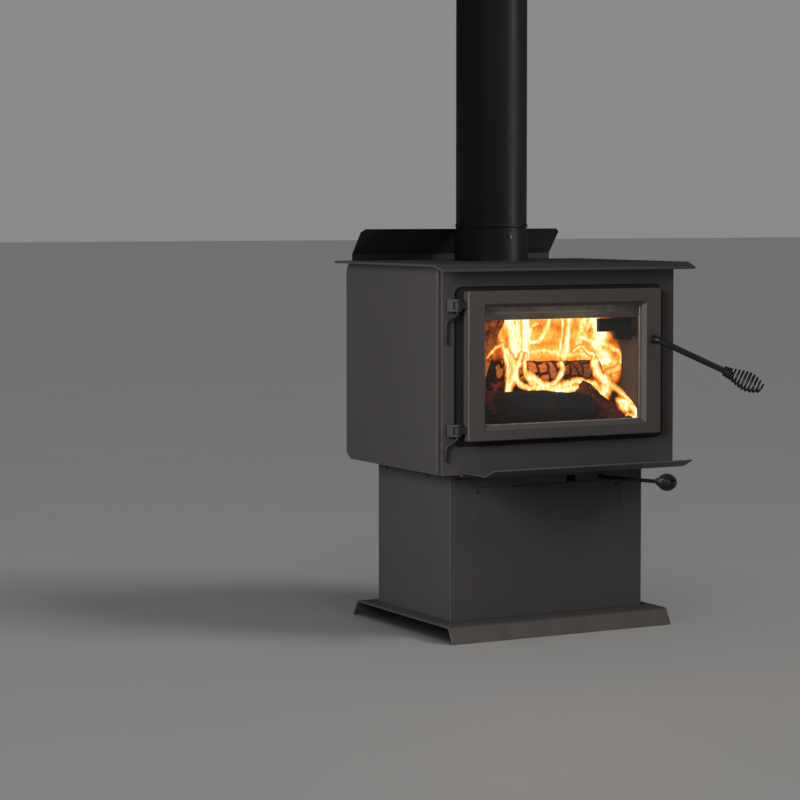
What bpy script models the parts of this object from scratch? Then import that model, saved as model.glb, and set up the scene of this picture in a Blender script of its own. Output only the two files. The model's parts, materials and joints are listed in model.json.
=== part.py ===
"""A wood burning stove on a pedestal, in metres, +Z up, its front facing -Y.

Every place below is given in the stove's own frame: X = 0 on its centre line, Y = 0 on the front plate's
face and Z = 0 on the floor. The stove_origin empty then centres the whole object on the world origin.
"""

import math

import bmesh
import bpy
from mathutils import Vector

# Driving dimensions, in metres
GAP = 0.0003  # clearance between pieces that touch
BODY_HALF_WIDTH = 0.2805
BODY_DEPTH = 0.420
BODY_BOTTOM = 0.341
BODY_TOP = 0.762
TOP_THICKNESS = 0.005
TOP_HALF_WIDTH = 0.309
PLATE_THICKNESS = 0.006
SHELL_THICKNESS = 0.005
SHEET_THICKNESS = 0.0015
SHELL_HALF_WIDTH = 0.270
SHELL_BACK = 0.400
PEDESTAL_HALF_WIDTH = 0.234
PEDESTAL_FRONT = 0.0483
PEDESTAL_BACK = 0.3606
BASE_TOP = 0.034
BASE_HALF_WIDTH = 0.2655
FLUE_Y = 0.282
PIPE_RADIUS = 0.0762
PIPE_LENGTH = 0.610
DOOR_HALF_WIDTH = 0.2332
DOOR_LOW, DOOR_HIGH = 0.409, 0.713
DOOR_FRONT, DOOR_BACK = -0.0247, -0.0046
WINDOW_HALF_WIDTH = 0.1895
WINDOW_LOW, WINDOW_HIGH = 0.440, 0.679
HINGE_X, HINGE_Y = -0.2515, -0.0122
HINGE_HEIGHT = 0.025
HINGE_BOTTOMS = {"upper": 0.672, "lower": 0.420}
HANDLE_X, HANDLE_Z = 0.2115, 0.6066
HANDLE_DIRECTION = Vector((192.0, -110.0, -103.0)).normalized()
HANDLE_RADIUS = 0.00635
AIR_X, AIR_Z = 0.1295, 0.3155
AIR_RADIUS = 0.004
AIR_TRAVEL = 0.076
BRICK_THICKNESS = 0.0318
BRICK_LENGTH = 0.2286

# Where the middle of the whole object's floor area lies in the stove's frame
CENTRE_X, CENTRE_Y = 0.0495, 0.1140


# ---------------------------------------------------------------- scene and helpers


def clear_scene():
    for obj in list(bpy.data.objects):
        bpy.data.objects.remove(obj, do_unlink=True)


def new_collection(name):
    collection = bpy.data.collections.new(name)
    bpy.context.scene.collection.children.link(collection)
    return collection


def body_empty(name, at, parent=None):
    """An empty on a body's joint axis. It keeps its place in the stove's frame as a property."""
    empty = bpy.data.objects.new(name, None)
    PARTS.objects.link(empty)
    empty["at"] = at
    if parent:
        empty.parent = parent
        empty.location = Vector(at) - Vector(parent["at"])
    return empty


def put(obj, parent, at, turn=(0.0, 0.0, 0.0), collection=None):
    (collection or PARTS).objects.link(obj)
    obj.parent = parent
    obj.location = Vector(at) - Vector(parent["at"])
    obj.rotation_euler = turn
    return obj


def make_material(name, color, roughness, metallic=0.0, transmission=0.0):
    material = bpy.data.materials.new(name)
    material.use_nodes = True
    shader = material.node_tree.nodes["Principled BSDF"]
    shader.inputs["Base Color"].default_value = (*color, 1.0)
    shader.inputs["Roughness"].default_value = roughness
    shader.inputs["Metallic"].default_value = metallic
    shader.inputs["Transmission Weight"].default_value = transmission
    return material


def mesh_object(name, bm, material):
    mesh = bpy.data.meshes.new(name)
    bmesh.ops.recalc_face_normals(bm, faces=bm.faces[:])
    bm.to_mesh(mesh)
    bm.free()
    if material:
        mesh.materials.append(material)
    return bpy.data.objects.new(name, mesh)


def soften(obj, width):
    """A narrow bevel on the sharp edges. A curve's loose caps are welded first."""
    if obj.type == "CURVE":
        weld = obj.modifiers.new("weld_caps", "WELD")
        weld.merge_threshold = 0.00002
    bevel = obj.modifiers.new("softened_edges", "BEVEL")
    bevel.width = width
    bevel.segments = 1
    bevel.limit_method = "ANGLE"
    bevel.angle_limit = math.radians(30)


def smooth_rounds(obj, angle=40):
    obj.data.shade_smooth()
    obj.data.set_sharp_from_angle(angle=math.radians(angle))


# ---------------------------------------------------------------- shapes


def block(name, low, high, material, parent, bevel=0.0):
    low, high = Vector(low), Vector(high)
    bm = bmesh.new()
    bmesh.ops.create_cube(bm, size=1.0)
    bmesh.ops.scale(bm, vec=high - low, verts=bm.verts[:])
    obj = put(mesh_object(name, bm, material), parent, (low + high) / 2)
    if bevel:
        soften(obj, bevel)
    return obj


def rounded_rectangle(half_width, low, high, radius, steps=3):
    """The points of an upright rectangle about X = 0, each corner an arc."""
    points = []
    corners = (
        (half_width - radius, high - radius, 0),
        (-half_width + radius, high - radius, 90),
        (-half_width + radius, low + radius, 180),
        (half_width - radius, low + radius, 270),
    )
    for x, z, start in corners:
        for step in range(steps + 1):
            angle = math.radians(start + 90 * step / steps)
            points.append((x + radius * math.cos(angle), z + radius * math.sin(angle)))
    return points


def flat_plate(name, outlines, thickness, material, parent, at, standing=True):
    """A plate cut to its first outline, with the others as holes. It stands facing -Y or lies flat."""
    curve = bpy.data.curves.new(name, "CURVE")
    curve.dimensions = "2D"
    curve.fill_mode = "BOTH"
    curve.extrude = thickness / 2
    for outline in outlines:
        spline = curve.splines.new("POLY")
        spline.points.add(len(outline) - 1)
        spline.use_cyclic_u = True
        for point, (x, y) in zip(spline.points, outline):
            point.co = (x, y, 0.0, 1.0)
    curve.materials.append(material)
    turn = (math.radians(90), 0.0, 0.0) if standing else (0.0, 0.0, 0.0)
    return put(bpy.data.objects.new(name, curve), parent, at, turn)


def folded_sheet(name, line, sweep, thickness, offset, material, parent, at, corners=()):
    """Sheet metal folded along a line of points and swept straight. Each corner is a plane that trims it.

    An offset of 1 or -1 puts the thickness on one side or the other of the line.
    """
    bm = bmesh.new()
    verts = [bm.verts.new(Vector(point) - Vector(at)) for point in line]
    edges = [bm.edges.new(pair) for pair in zip(verts, verts[1:])]
    grown = bmesh.ops.extrude_edge_only(bm, edges=edges)["geom"]
    bmesh.ops.translate(bm, vec=sweep, verts=[v for v in grown if isinstance(v, bmesh.types.BMVert)])
    for place, outward in corners:
        bmesh.ops.bisect_plane(
            bm,
            geom=bm.verts[:] + bm.edges[:] + bm.faces[:],
            plane_co=Vector(place) - Vector(at),
            plane_no=outward,
            clear_outer=True,
        )
    mesh = bpy.data.meshes.new(name)
    bm.to_mesh(mesh)
    bm.free()
    mesh.materials.append(material)
    obj = put(bpy.data.objects.new(name, mesh), parent, at)
    solidify = obj.modifiers.new("thickness", "SOLIDIFY")
    solidify.thickness = thickness
    solidify.offset = offset
    solidify.use_even_offset = True
    return obj


def turned(name, profile, material, parent, at, turn=(0.0, 0.0, 0.0), steps=40, closed=False):
    """A profile of (radius, height) points turned about Z, its outer side running from top to bottom."""
    mesh = bpy.data.meshes.new(name)
    count = len(profile)
    edges = [(i, i + 1) for i in range(count - 1)]
    if closed:
        edges.append((count - 1, 0))
    mesh.from_pydata([(radius, 0.0, height) for radius, height in profile], edges, [])
    mesh.materials.append(material)
    obj = put(bpy.data.objects.new(name, mesh), parent, at, turn)
    screw = obj.modifiers.new("turned", "SCREW")
    screw.steps = steps
    screw.render_steps = steps
    screw.use_merge_vertices = True
    screw.merge_threshold = 0.00005
    screw.use_smooth_shade = True
    smooth_rounds(obj)
    return obj


def rod(name, path, radius, material, parent, at, sides=2):
    """A round wire along a path of points in the stove's frame."""
    curve = bpy.data.curves.new(name, "CURVE")
    curve.dimensions = "3D"
    curve.bevel_depth = radius
    curve.bevel_resolution = sides
    curve.use_fill_caps = True
    spline = curve.splines.new("POLY")
    spline.points.add(len(path) - 1)
    for point, place in zip(spline.points, path):
        point.co = (*(Vector(place) - Vector(at)), 1.0)
    curve.materials.append(material)
    return put(bpy.data.objects.new(name, curve), parent, at)


def bent_path(points, radius, steps=4):
    """The points of a bent wire: straight runs joined by round bends."""
    points = [Vector(point) for point in points]
    path = [points[0]]
    for before, corner, after in zip(points, points[1:], points[2:]):
        back = (before - corner).normalized()
        ahead = (after - corner).normalized()
        for step in range(steps + 1):
            t = step / steps
            path.append(corner + back * radius * (1 - t) ** 2 + ahead * radius * t**2)
    path.append(points[-1])
    return path


def coil_path(start, direction, length, turns, close_turns, close_pitch, radius_at, steps=12):
    """A coil about a line. Its first turns are wound close, the rest open out evenly, and radius_at gives
    its radius along its length."""
    side = direction.cross(Vector((0.0, 0.0, 1.0))).normalized()
    up = side.cross(direction).normalized()
    open_pitch = (length - close_turns * close_pitch) / (turns - close_turns)
    path = []
    for step in range(int(turns * steps) + 1):
        turn = step / steps
        along = min(turn, close_turns) * close_pitch + max(0.0, turn - close_turns) * open_pitch
        around = side * math.cos(2 * math.pi * turn) + up * math.sin(2 * math.pi * turn)
        path.append(start + direction * along + around * radius_at(along / length))
    return path


def barrel_radius(neck, widest, end, at=0.62):
    """The radius along a barrel-shaped grip: a narrow neck, a full middle and a closing end."""

    def radius_at(share):
        if share < at:
            return neck + (widest - neck) * math.sin(math.pi / 2 * share / at) ** 2
        return end + (widest - end) * math.cos(math.pi / 2 * (share - at) / (1 - at)) ** 0.8

    return radius_at


def as_mesh(obj):
    """The same object with its curve and modifiers made a mesh, so that a Boolean can cut it."""
    graph = bpy.context.evaluated_depsgraph_get()
    mesh = bpy.data.meshes.new_from_object(obj.evaluated_get(graph))
    bm = bmesh.new()
    bm.from_mesh(mesh)
    bmesh.ops.remove_doubles(bm, verts=bm.verts[:], dist=0.00001)
    bmesh.ops.recalc_face_normals(bm, faces=bm.faces[:])
    bm.to_mesh(mesh)
    bm.free()
    made = bpy.data.objects.new(obj.name + "_mesh", mesh)
    PARTS.objects.link(made)
    made.parent = obj.parent
    made.matrix_world = obj.matrix_world
    name = obj.name
    bpy.data.objects.remove(obj, do_unlink=True)
    made.name = name
    return made


def cut(obj, cutter):
    boolean = obj.modifiers.new("cut_" + cutter.name, "BOOLEAN")
    boolean.operation = "DIFFERENCE"
    boolean.object = cutter


def put_cutter(name, bm, at, parent, turn=(0.0, 0.0, 0.0)):
    cutter = put(mesh_object(name, bm, None), parent, at, turn, CUTTERS)
    cutter.hide_render = True
    cutter.display_type = "WIRE"
    return cutter


def round_cutter(name, at, radius, length, parent, turn=(0.0, 0.0, 0.0), segments=32):
    bm = bmesh.new()
    bmesh.ops.create_cone(
        bm, cap_ends=True, segments=segments, radius1=radius, radius2=radius, depth=length
    )
    return put_cutter(name, bm, at, parent, turn)


def box_cutter(name, low, high, parent):
    low, high = Vector(low), Vector(high)
    bm = bmesh.new()
    bmesh.ops.create_cube(bm, size=1.0)
    bmesh.ops.scale(bm, vec=high - low, verts=bm.verts[:])
    return put_cutter(name, bm, (low + high) / 2, parent)


def ring_frame(name, sections, material, parent, at):
    """A rectangular frame lofted through closed sections: half width, low, high, corner radius and y."""
    bm = bmesh.new()
    loops = []
    for half_width, low, high, radius, y in sections:
        outline = rounded_rectangle(half_width, low, high, radius)
        loops.append([bm.verts.new(Vector((x, y, z)) - Vector(at)) for x, z in outline])
    for loop, following in zip(loops, loops[1:] + loops[:1]):
        for i, vert in enumerate(loop):
            ahead = (i + 1) % len(loop)
            bm.faces.new((vert, loop[ahead], following[ahead], following[i]))
    return put(mesh_object(name, bm, material), parent, at)


# ---------------------------------------------------------------- fixed pieces


def build_casing(stove, paint, dark_paint):
    inner_bottom = BODY_BOTTOM + GAP
    plate_top = BODY_TOP - GAP
    top = folded_sheet(
        "top_plate",
        [
            (-TOP_HALF_WIDTH, BODY_DEPTH, BODY_TOP + TOP_THICKNESS),
            (-TOP_HALF_WIDTH, -0.0134, BODY_TOP + TOP_THICKNESS),
            (-TOP_HALF_WIDTH, -0.0466, BODY_TOP - 0.005),
        ],
        (2 * TOP_HALF_WIDTH, 0.0, 0.0),
        TOP_THICKNESS,
        1.0,
        paint,
        stove,
        (0.0, FLUE_Y, BODY_TOP),
    )
    for vert in top.data.vertices:
        if vert.co.y < -0.3:
            vert.co.x *= 0.985
    cut(top, round_cutter("flue_hole", (0.0, FLUE_Y, BODY_TOP), 0.0735, 0.05, stove, segments=40))
    soften(top, 0.0008)

    shell = block(
        "firebox_shell",
        (-SHELL_HALF_WIDTH, PLATE_THICKNESS + GAP, inner_bottom),
        (SHELL_HALF_WIDTH, SHELL_BACK, plate_top),
        dark_paint,
        stove,
    )
    hollow = (SHELL_HALF_WIDTH - SHELL_THICKNESS, SHELL_BACK - SHELL_THICKNESS)
    cut(
        shell,
        box_cutter(
            "firebox_hollow",
            (-hollow[0], -0.05, inner_bottom + SHELL_THICKNESS),
            (hollow[0], hollow[1], plate_top + 0.05),
            stove,
        ),
    )

    front = flat_plate(
        "front_plate",
        [
            rounded_rectangle(BODY_HALF_WIDTH, BODY_BOTTOM, plate_top, 0.002, 2),
            rounded_rectangle(0.2520, 0.397, 0.7215, 0.017, 5),
        ],
        PLATE_THICKNESS,
        paint,
        stove,
        (0.0, PLATE_THICKNESS / 2, 0.0),
    )
    soften(front, 0.0006)

    flat_plate(
        "door_land",
        [
            rounded_rectangle(0.2645, inner_bottom + 0.0055, plate_top - GAP, 0.002, 1),
            rounded_rectangle(0.1955, 0.4335, 0.6865, 0.008, 3),
        ],
        SHELL_THICKNESS,
        dark_paint,
        stove,
        (0.0, PLATE_THICKNESS + GAP + SHELL_THICKNESS / 2, 0.0),
    )

    for side, sign in (("left", -1), ("right", 1)):
        outer = sign * BODY_HALF_WIDTH
        folded_sheet(
            f"side_panel_{side}",
            [
                (outer - sign * 0.0095, 0.0206, BODY_BOTTOM),
                (outer, 0.0206, BODY_BOTTOM),
                (outer, BODY_DEPTH - 0.0005, BODY_BOTTOM),
            ],
            (0.0, 0.0, plate_top - BODY_BOTTOM),
            SHEET_THICKNESS,
            sign,
            paint,
            stove,
            (outer, 0.0206, BODY_BOTTOM),
            corners=(
                ((outer, 0.4145, 0.7535), (0.0, 17.0, 11.0)),
                ((outer, 0.4105, 0.3480), (0.0, 14.0, -19.0)),
            ),
        )
    flat_plate(
        "rear_panel",
        [rounded_rectangle(BODY_HALF_WIDTH - 0.002, 0.356, 0.744, 0.002, 1)],
        SHEET_THICKNESS,
        paint,
        stove,
        (0.0, BODY_DEPTH - SHEET_THICKNESS / 2, 0.0),
    )


def build_rear_shield(stove, paint):
    half_width = 0.2505
    plane_y = 0.4515
    shield = folded_sheet(
        "rear_heat_shield",
        [
            (-half_width, plane_y, 0.372),
            (-half_width, plane_y, 0.780),
            (-half_width, 0.4047, 0.835),
        ],
        (2 * half_width, 0.0, 0.0),
        SHEET_THICKNESS,
        1.0,
        paint,
        stove,
        (0.0, plane_y, 0.780),
        corners=(
            ((-half_width, 0.4104, 0.8283), (-0.7071, -0.4583, 0.5390)),
            ((half_width, 0.4104, 0.8283), (0.7071, -0.4583, 0.5390)),
        ),
    )
    soften(shield, 0.0004)
    bracket_thickness = 0.001
    near = BODY_DEPTH + GAP + bracket_thickness / 2
    far = plane_y - SHEET_THICKNESS - GAP - bracket_thickness / 2
    for side, sign in (("left", -1), ("right", 1)):
        x = sign * 0.200
        folded_sheet(
            f"shield_bracket_{side}",
            [
                (x - 0.012, near, 0.430),
                (x, near, 0.430),
                (x, far, 0.430),
                (x + 0.012, far, 0.430),
            ],
            (0.0, 0.0, 0.270),
            bracket_thickness,
            0.0,
            paint,
            stove,
            (x, BODY_DEPTH + 0.015, 0.430),
        )


def build_flue(stove, pipe_paint, screw_finish):
    seat = BODY_TOP + TOP_THICKNESS + GAP
    collar_top = 0.831
    turned(
        "flue_collar",
        [
            (PIPE_RADIUS + GAP, collar_top),
            (0.0790, collar_top),
            (0.0790, seat + 0.003),
            (0.0800, seat),
            (0.0730, seat),
            (0.0730, seat + 0.012),
            (PIPE_RADIUS + GAP, seat + 0.012),
        ],
        pipe_paint,
        stove,
        (0.0, FLUE_Y, 0.0),
        closed=True,
    )
    low = seat + 0.0123
    high = low + PIPE_LENGTH
    bead = 0.842
    turned(
        "flue_pipe",
        [
            (PIPE_RADIUS - 0.0014, high),
            (PIPE_RADIUS, high),
            (PIPE_RADIUS, bead + 0.003),
            (PIPE_RADIUS + 0.0011, bead),
            (PIPE_RADIUS, bead - 0.003),
            (PIPE_RADIUS, low),
            (PIPE_RADIUS - 0.0014, low),
        ],
        pipe_paint,
        stove,
        (0.0, FLUE_Y, 0.0),
        closed=True,
    )
    for place, degrees in (("front", -90), ("left", 150), ("right", 30)):
        angle = math.radians(degrees)
        radius = 0.0790 + GAP
        pan_screw(
            f"collar_screw_{place}",
            (radius * math.cos(angle), FLUE_Y + radius * math.sin(angle), 0.819),
            (0.0, math.radians(90), angle),
            screw_finish,
            stove,
        )


def pan_screw(name, at, turn, material, parent, radius=0.0042):
    """A pan head, its flat side on the surface and its dome along the turned Z."""
    height = radius * 0.62
    dome = [(radius * math.sin(a), height * math.cos(a)) for a in (0, 0.45, 0.9, 1.3)]
    profile = [(0.0, height)] + dome[1:] + [(radius, 0.0), (0.0, 0.0)]
    return turned(name, profile, material, parent, at, turn, steps=12)


def build_pedestal(stove, paint, screw_finish):
    x, y_front, y_back = PEDESTAL_HALF_WIDTH, PEDESTAL_FRONT, PEDESTAL_BACK
    low = BASE_TOP + GAP
    high = BODY_BOTTOM - GAP
    lip = 0.0078
    folded_sheet(
        "pedestal_shell",
        [
            (-x + lip, y_front, low),
            (-x, y_front, low),
            (-x, y_back, low),
            (x, y_back, low),
            (x, y_front, low),
            (x - lip, y_front, low),
        ],
        (0.0, 0.0, high - low),
        SHEET_THICKNESS,
        -1.0,
        paint,
        stove,
        (0.0, y_back, low),
    )
    panel_half, panel_top = 0.1785, 0.307
    frame_half = x - lip - GAP
    slot = [(0.0455, 0.309), (0.1395, 0.309), (0.1395, 0.322), (0.0455, 0.322)]
    flat_plate(
        "pedestal_front_frame",
        [
            [
                (-frame_half, low),
                (-panel_half, low),
                (-panel_half, panel_top),
                (panel_half, panel_top),
                (panel_half, low),
                (frame_half, low),
                (frame_half, high),
                (-frame_half, high),
            ],
            slot,
        ],
        SHEET_THICKNESS,
        paint,
        stove,
        (0.0, y_front + SHEET_THICKNESS / 2, 0.0),
    )
    seam = 0.0008
    flat_plate(
        "pedestal_front_panel",
        [rounded_rectangle(panel_half - seam, low, panel_top - seam, 0.001, 1)],
        SHEET_THICKNESS,
        paint,
        stove,
        (0.0, y_front + SHEET_THICKNESS / 2, 0.0),
    )
    for side, sign in (("left", -1), ("right", 1)):
        pan_screw(
            f"panel_screw_{side}",
            (sign * 0.1705, y_front - GAP, 0.2975),
            (math.radians(90), 0.0, 0.0),
            screw_finish,
            stove,
        )


def build_base(stove, paint):
    drop = 0.003
    slope = 0.0183 / BASE_TOP
    base = folded_sheet(
        "base_plate",
        [
            (-BASE_HALF_WIDTH, -0.0183 - slope * drop, -drop),
            (-BASE_HALF_WIDTH, 0.0, BASE_TOP),
            (-BASE_HALF_WIDTH, 0.3986, BASE_TOP),
            (-BASE_HALF_WIDTH, 0.420 + slope * drop, -drop),
        ],
        (2 * BASE_HALF_WIDTH, 0.0, 0.0),
        0.004,
        -1.0,
        paint,
        stove,
        (0.0, 0.200, 0.0),
    )
    cut(base, box_cutter("floor_cut", (-0.4, -0.2, -0.05), (0.4, 0.6, 0.0), stove))


def build_ash_lip(stove, paint):
    half_width = 0.2376
    lip = folded_sheet(
        "ash_lip",
        [
            (-half_width, 0.0400, 0.3405 - GAP),
            (-half_width, -0.0050, 0.3405 - GAP),
            (-half_width, -0.0130, 0.3480),
            (-half_width, -0.1000, 0.3480),
            (-half_width, -0.1315, 0.3620),
        ],
        (2 * half_width, 0.0, 0.0),
        0.003,
        1.0,
        paint,
        stove,
        (0.0, -0.050, 0.3480),
    )
    soften(lip, 0.0004)


# ---------------------------------------------------------------- inside the firebox


def build_bricks(stove, brick):
    floor = BODY_BOTTOM + GAP + SHELL_THICKNESS + GAP
    wall_x = SHELL_HALF_WIDTH - SHELL_THICKNESS - GAP
    back = SHELL_BACK - SHELL_THICKNESS - GAP
    front = 0.0140
    inner_x = wall_x - BRICK_THICKNESS - GAP
    wall_low = floor + BRICK_THICKNESS + GAP
    wall_high = wall_low + BRICK_LENGTH
    inner_back = back - BRICK_THICKNESS - GAP
    middle_y = (front + inner_back) / 2
    soft = 0.0012
    for side, sign in (("left", -1), ("right", 1)):
        for place, near, far in (("front", front, middle_y), ("rear", middle_y, inner_back)):
            xs = sorted((sign * GAP, sign * wall_x))
            low = (xs[0], near + GAP, floor)
            high = (xs[1], far - GAP, floor + BRICK_THICKNESS)
            block(f"floor_brick_{place}_{side}", low, high, brick, stove, soft)
            xs = sorted((sign * (inner_x + GAP), sign * wall_x))
            low = (xs[0], near + GAP, wall_low)
            high = (xs[1], far - GAP, wall_high)
            block(f"side_brick_{place}_{side}", low, high, brick, stove, soft)
    width = 2 * wall_x / 3
    for place, index in (("left", 0), ("middle", 1), ("right", 2)):
        low_x = -wall_x + index * width
        block(
            f"rear_brick_{place}",
            (low_x + GAP, inner_back + GAP, floor),
            (low_x + width - GAP, back, wall_high),
            brick,
            stove,
            soft,
        )


def build_air_path(stove, steel, board, dark_paint):
    tube_radius, bore = 0.0127, 0.0110
    tube_z = 0.6905
    half_length = SHELL_HALF_WIDTH - SHELL_THICKNESS - GAP
    for place, y in (("front", 0.110), ("middle", 0.200), ("rear", 0.290)):
        turned(
            f"air_tube_{place}",
            [
                (bore, half_length),
                (tube_radius, half_length),
                (tube_radius, -half_length),
                (bore, -half_length),
            ],
            steel,
            stove,
            (0.0, y, tube_z),
            (0.0, math.radians(90), 0.0),
            steps=16,
            closed=True,
        )
    low = tube_z + tube_radius + GAP
    for side, sign in (("left", -1), ("right", 1)):
        xs = sorted((sign * GAP, sign * (half_length - 0.002)))
        board_low = (xs[0], 0.075, low)
        board_high = (xs[1], 0.345, low + 0.028)
        block(f"baffle_board_{side}", board_low, board_high, board, stove, 0.0015)
    folded_sheet(
        "airwash_deflector",
        [(-0.262, 0.0300, 0.7000), (-0.262, 0.0300, 0.6640), (-0.262, 0.0440, 0.6500)],
        (0.524, 0.0, 0.0),
        0.003,
        1.0,
        steel,
        stove,
        (0.0, 0.0300, 0.6640),
    )
    box_low = (0.0050, 0.110, 0.3221)
    box_high = (0.1800, 0.205, BODY_BOTTOM)
    air_box = block("air_inlet_box", box_low, box_high, dark_paint, stove)
    wall = 0.0015
    cut(
        air_box,
        box_cutter(
            "air_box_hollow",
            (box_low[0] + wall, box_low[1] + wall, box_low[2] + wall),
            (box_high[0] - wall, box_high[1] - wall, 0.36),
            stove,
        ),
    )
    port_x = AIR_X - AIR_TRAVEL
    port_low = (port_x - 0.030, 0.128, 0.31)
    port_high = (port_x + 0.030, 0.188, 0.33)
    cut(air_box, box_cutter("air_port", port_low, port_high, stove))


# ---------------------------------------------------------------- hinges


def hinge_ear(reach, radius):
    """The plan outline of a hinge ear: a foot on the plate, running out to a round about the pin."""
    arc = []
    for step in range(9):
        angle = math.radians(-150 + 150 * step / 8)
        arc.append((HINGE_X + radius * math.cos(angle), HINGE_Y + radius * math.sin(angle)))
    return [(HINGE_X - reach, -GAP), (HINGE_X - reach, -0.0060)] + arc + [(HINGE_X + radius, -GAP)]


def build_hinges(stove, door, dark_paint):
    ear_height = 0.0055
    bore, barrel = 0.0036, 0.0094
    room = 0.0005
    tail_lengths = {"upper": 0.046, "lower": 0.030}
    for place, bottom in HINGE_BOTTOMS.items():
        top = bottom + HINGE_HEIGHT
        middle = (bottom + top) / 2
        ears = flat_plate(
            f"hinge_bracket_{place}",
            [hinge_ear(0.0205, 0.0098)],
            HINGE_HEIGHT,
            dark_paint,
            stove,
            (0.0, 0.0, middle),
            standing=False,
        )
        bpy.context.view_layer.update()
        ears = as_mesh(ears)
        knuckle_low = (HINGE_X - 0.0112, -0.05, bottom + ear_height - room)
        knuckle_high = (HINGE_X + 0.05, -0.0016, top - ear_height + room)
        cut(ears, box_cutter(f"knuckle_room_{place}", knuckle_low, knuckle_high, stove))
        bore_at = (HINGE_X, HINGE_Y, middle)
        cut(ears, round_cutter(f"pin_hole_{place}", bore_at, bore, 0.05, stove, segments=12))

        barrel_top = top - ear_height
        barrel_bottom = bottom + ear_height
        knuckle = turned(
            f"hinge_knuckle_{place}",
            [
                (bore, barrel_top),
                (barrel, barrel_top),
                (barrel, barrel_bottom),
                (bore, barrel_bottom),
            ],
            dark_paint,
            door,
            (HINGE_X, HINGE_Y, 0.0),
            steps=24,
            closed=True,
        )
        strap_low = (HINGE_X + 0.0060, HINGE_Y - 0.0074, barrel_bottom)
        strap_high = (-DOOR_HALF_WIDTH - GAP, HINGE_Y + 0.0060, barrel_top)
        strap = box_cutter(f"strap_{place}", strap_low, strap_high, door)
        union = knuckle.modifiers.new("strap", "BOOLEAN")
        union.operation = "UNION"
        union.object = strap

        head = (HINGE_X, HINGE_Y, top + 0.0015)
        corner = (HINGE_X, HINGE_Y, bottom - 0.006)
        aside = (-0.2750, -0.0068, bottom - 0.0205)
        tail_end = (-0.2750, -0.0068, bottom - 0.0205 - tail_lengths[place])
        rod(
            f"hinge_pin_{place}",
            bent_path([head, corner, aside, tail_end], 0.006),
            0.0031,
            dark_paint,
            stove,
            (HINGE_X, HINGE_Y, middle),
        )


# ---------------------------------------------------------------- door


def build_door(door, paint, glass, rope, dark_paint, steel):
    chamfer = 0.0018
    half, low, high = DOOR_HALF_WIDTH, DOOR_LOW, DOOR_HIGH
    bevel_half, bevel_low, bevel_high = 0.1962, 0.4310, 0.6870
    window = (WINDOW_HALF_WIDTH, WINDOW_LOW, WINDOW_HIGH, 0.004)
    rebate = (0.1992, 0.4305, 0.6885, 0.005)
    sections = [
        (half - chamfer, low + chamfer, high - chamfer, 0.003, DOOR_FRONT),
        (half, low, high, 0.004, DOOR_FRONT + chamfer),
        (half, low, high, 0.004, DOOR_BACK),
        (*rebate, DOOR_BACK),
        (*rebate, -0.0125),
        (*window, -0.0125),
        (*window, -0.0165),
        (bevel_half, bevel_low, bevel_high, 0.006, DOOR_FRONT),
    ]
    frame = ring_frame("door_frame", sections, paint, door, (HINGE_X, HINGE_Y, 0.561))
    spindle_at = (HANDLE_X, -0.0150, HANDLE_Z)
    along_y = (math.radians(90), 0.0, 0.0)
    cut(frame, round_cutter("spindle_hole", spindle_at, 0.0090, 0.05, door, along_y, 20))

    seat = -0.0125 + GAP
    glass_back = seat + 0.0010 + GAP + 0.0040
    flat_ring("glass_gasket", 0.1985, 0.4312, 0.6878, 0.0080, (seat, seat + 0.0010), rope, door)
    pane = [rounded_rectangle(0.1985, 0.4312, 0.6878, 0.004, 2)]
    flat_plate("door_glass", pane, 0.0040, glass, door, (0.0, glass_back - 0.0020, 0.0))
    flat_ring("glass_retainer", 0.1985, 0.4312, 0.6878, 0.0100, (glass_back + GAP, DOOR_BACK), steel, door)
    flat_ring("door_gasket", 0.2065, 0.4235, 0.6955, 0.0065, (DOOR_BACK + GAP, PLATE_THICKNESS), rope, door)

    flange = DOOR_FRONT - GAP
    turned(
        "handle_bush",
        [
            (0.0067, 0.0040),
            (0.0082, 0.0040),
            (0.0100, 0.0022),
            (0.0100, 0.0),
            (0.0087, 0.0),
            (0.0087, -0.0190),
            (0.0067, -0.0190),
        ],
        dark_paint,
        door,
        (HANDLE_X, flange, HANDLE_Z),
        (math.radians(90), 0.0, 0.0),
        steps=24,
        closed=True,
    )


def flat_ring(name, half, low, high, width, depth, material, parent):
    near, far = depth
    outer = rounded_rectangle(half, low, high, 0.004, 2)
    inner = rounded_rectangle(half - width, low + width, high - width, 0.003, 2)
    return flat_plate(name, [outer, inner], far - near, material, parent, (0.0, (near + far) / 2, 0.0))


def build_handle(handle, black, steel):
    elbow = Vector((HANDLE_X, DOOR_FRONT - 0.0125, HANDLE_Z))
    grip_length = 0.089
    rod_length = 0.155
    grip_start = elbow + HANDLE_DIRECTION * rod_length
    rod_end = grip_start + HANDLE_DIRECTION * 0.022
    rod(
        "handle_rod",
        bent_path([(HANDLE_X, -0.0052, HANDLE_Z), elbow, rod_end], 0.009),
        HANDLE_RADIUS,
        black,
        handle,
        (HANDLE_X, DOOR_FRONT, HANDLE_Z),
        sides=3,
    )
    wire = 0.0021
    shape = barrel_radius(HANDLE_RADIUS + wire + 0.0004, 0.0193, 0.0060)
    rod(
        "handle_coil",
        coil_path(grip_start, HANDLE_DIRECTION, grip_length, 12.5, 3.5, 0.0046, shape),
        wire,
        black,
        handle,
        (HANDLE_X, DOOR_FRONT, HANDLE_Z),
    )
    near = DOOR_BACK + GAP
    hub, reach = 0.0043, 0.0175
    outline = []
    for step in range(13):
        angle = math.radians(60 + 240 * step / 12)
        outline.append((HANDLE_X + hub * math.cos(angle), HANDLE_Z + hub * math.sin(angle)))
    outline += [(HANDLE_X + reach, HANDLE_Z - 0.0030), (HANDLE_X + reach, HANDLE_Z + 0.0030)]
    flat_plate("latch_cam", [outline], 0.0045, steel, handle, (0.0, near + 0.00225, 0.0))


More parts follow.
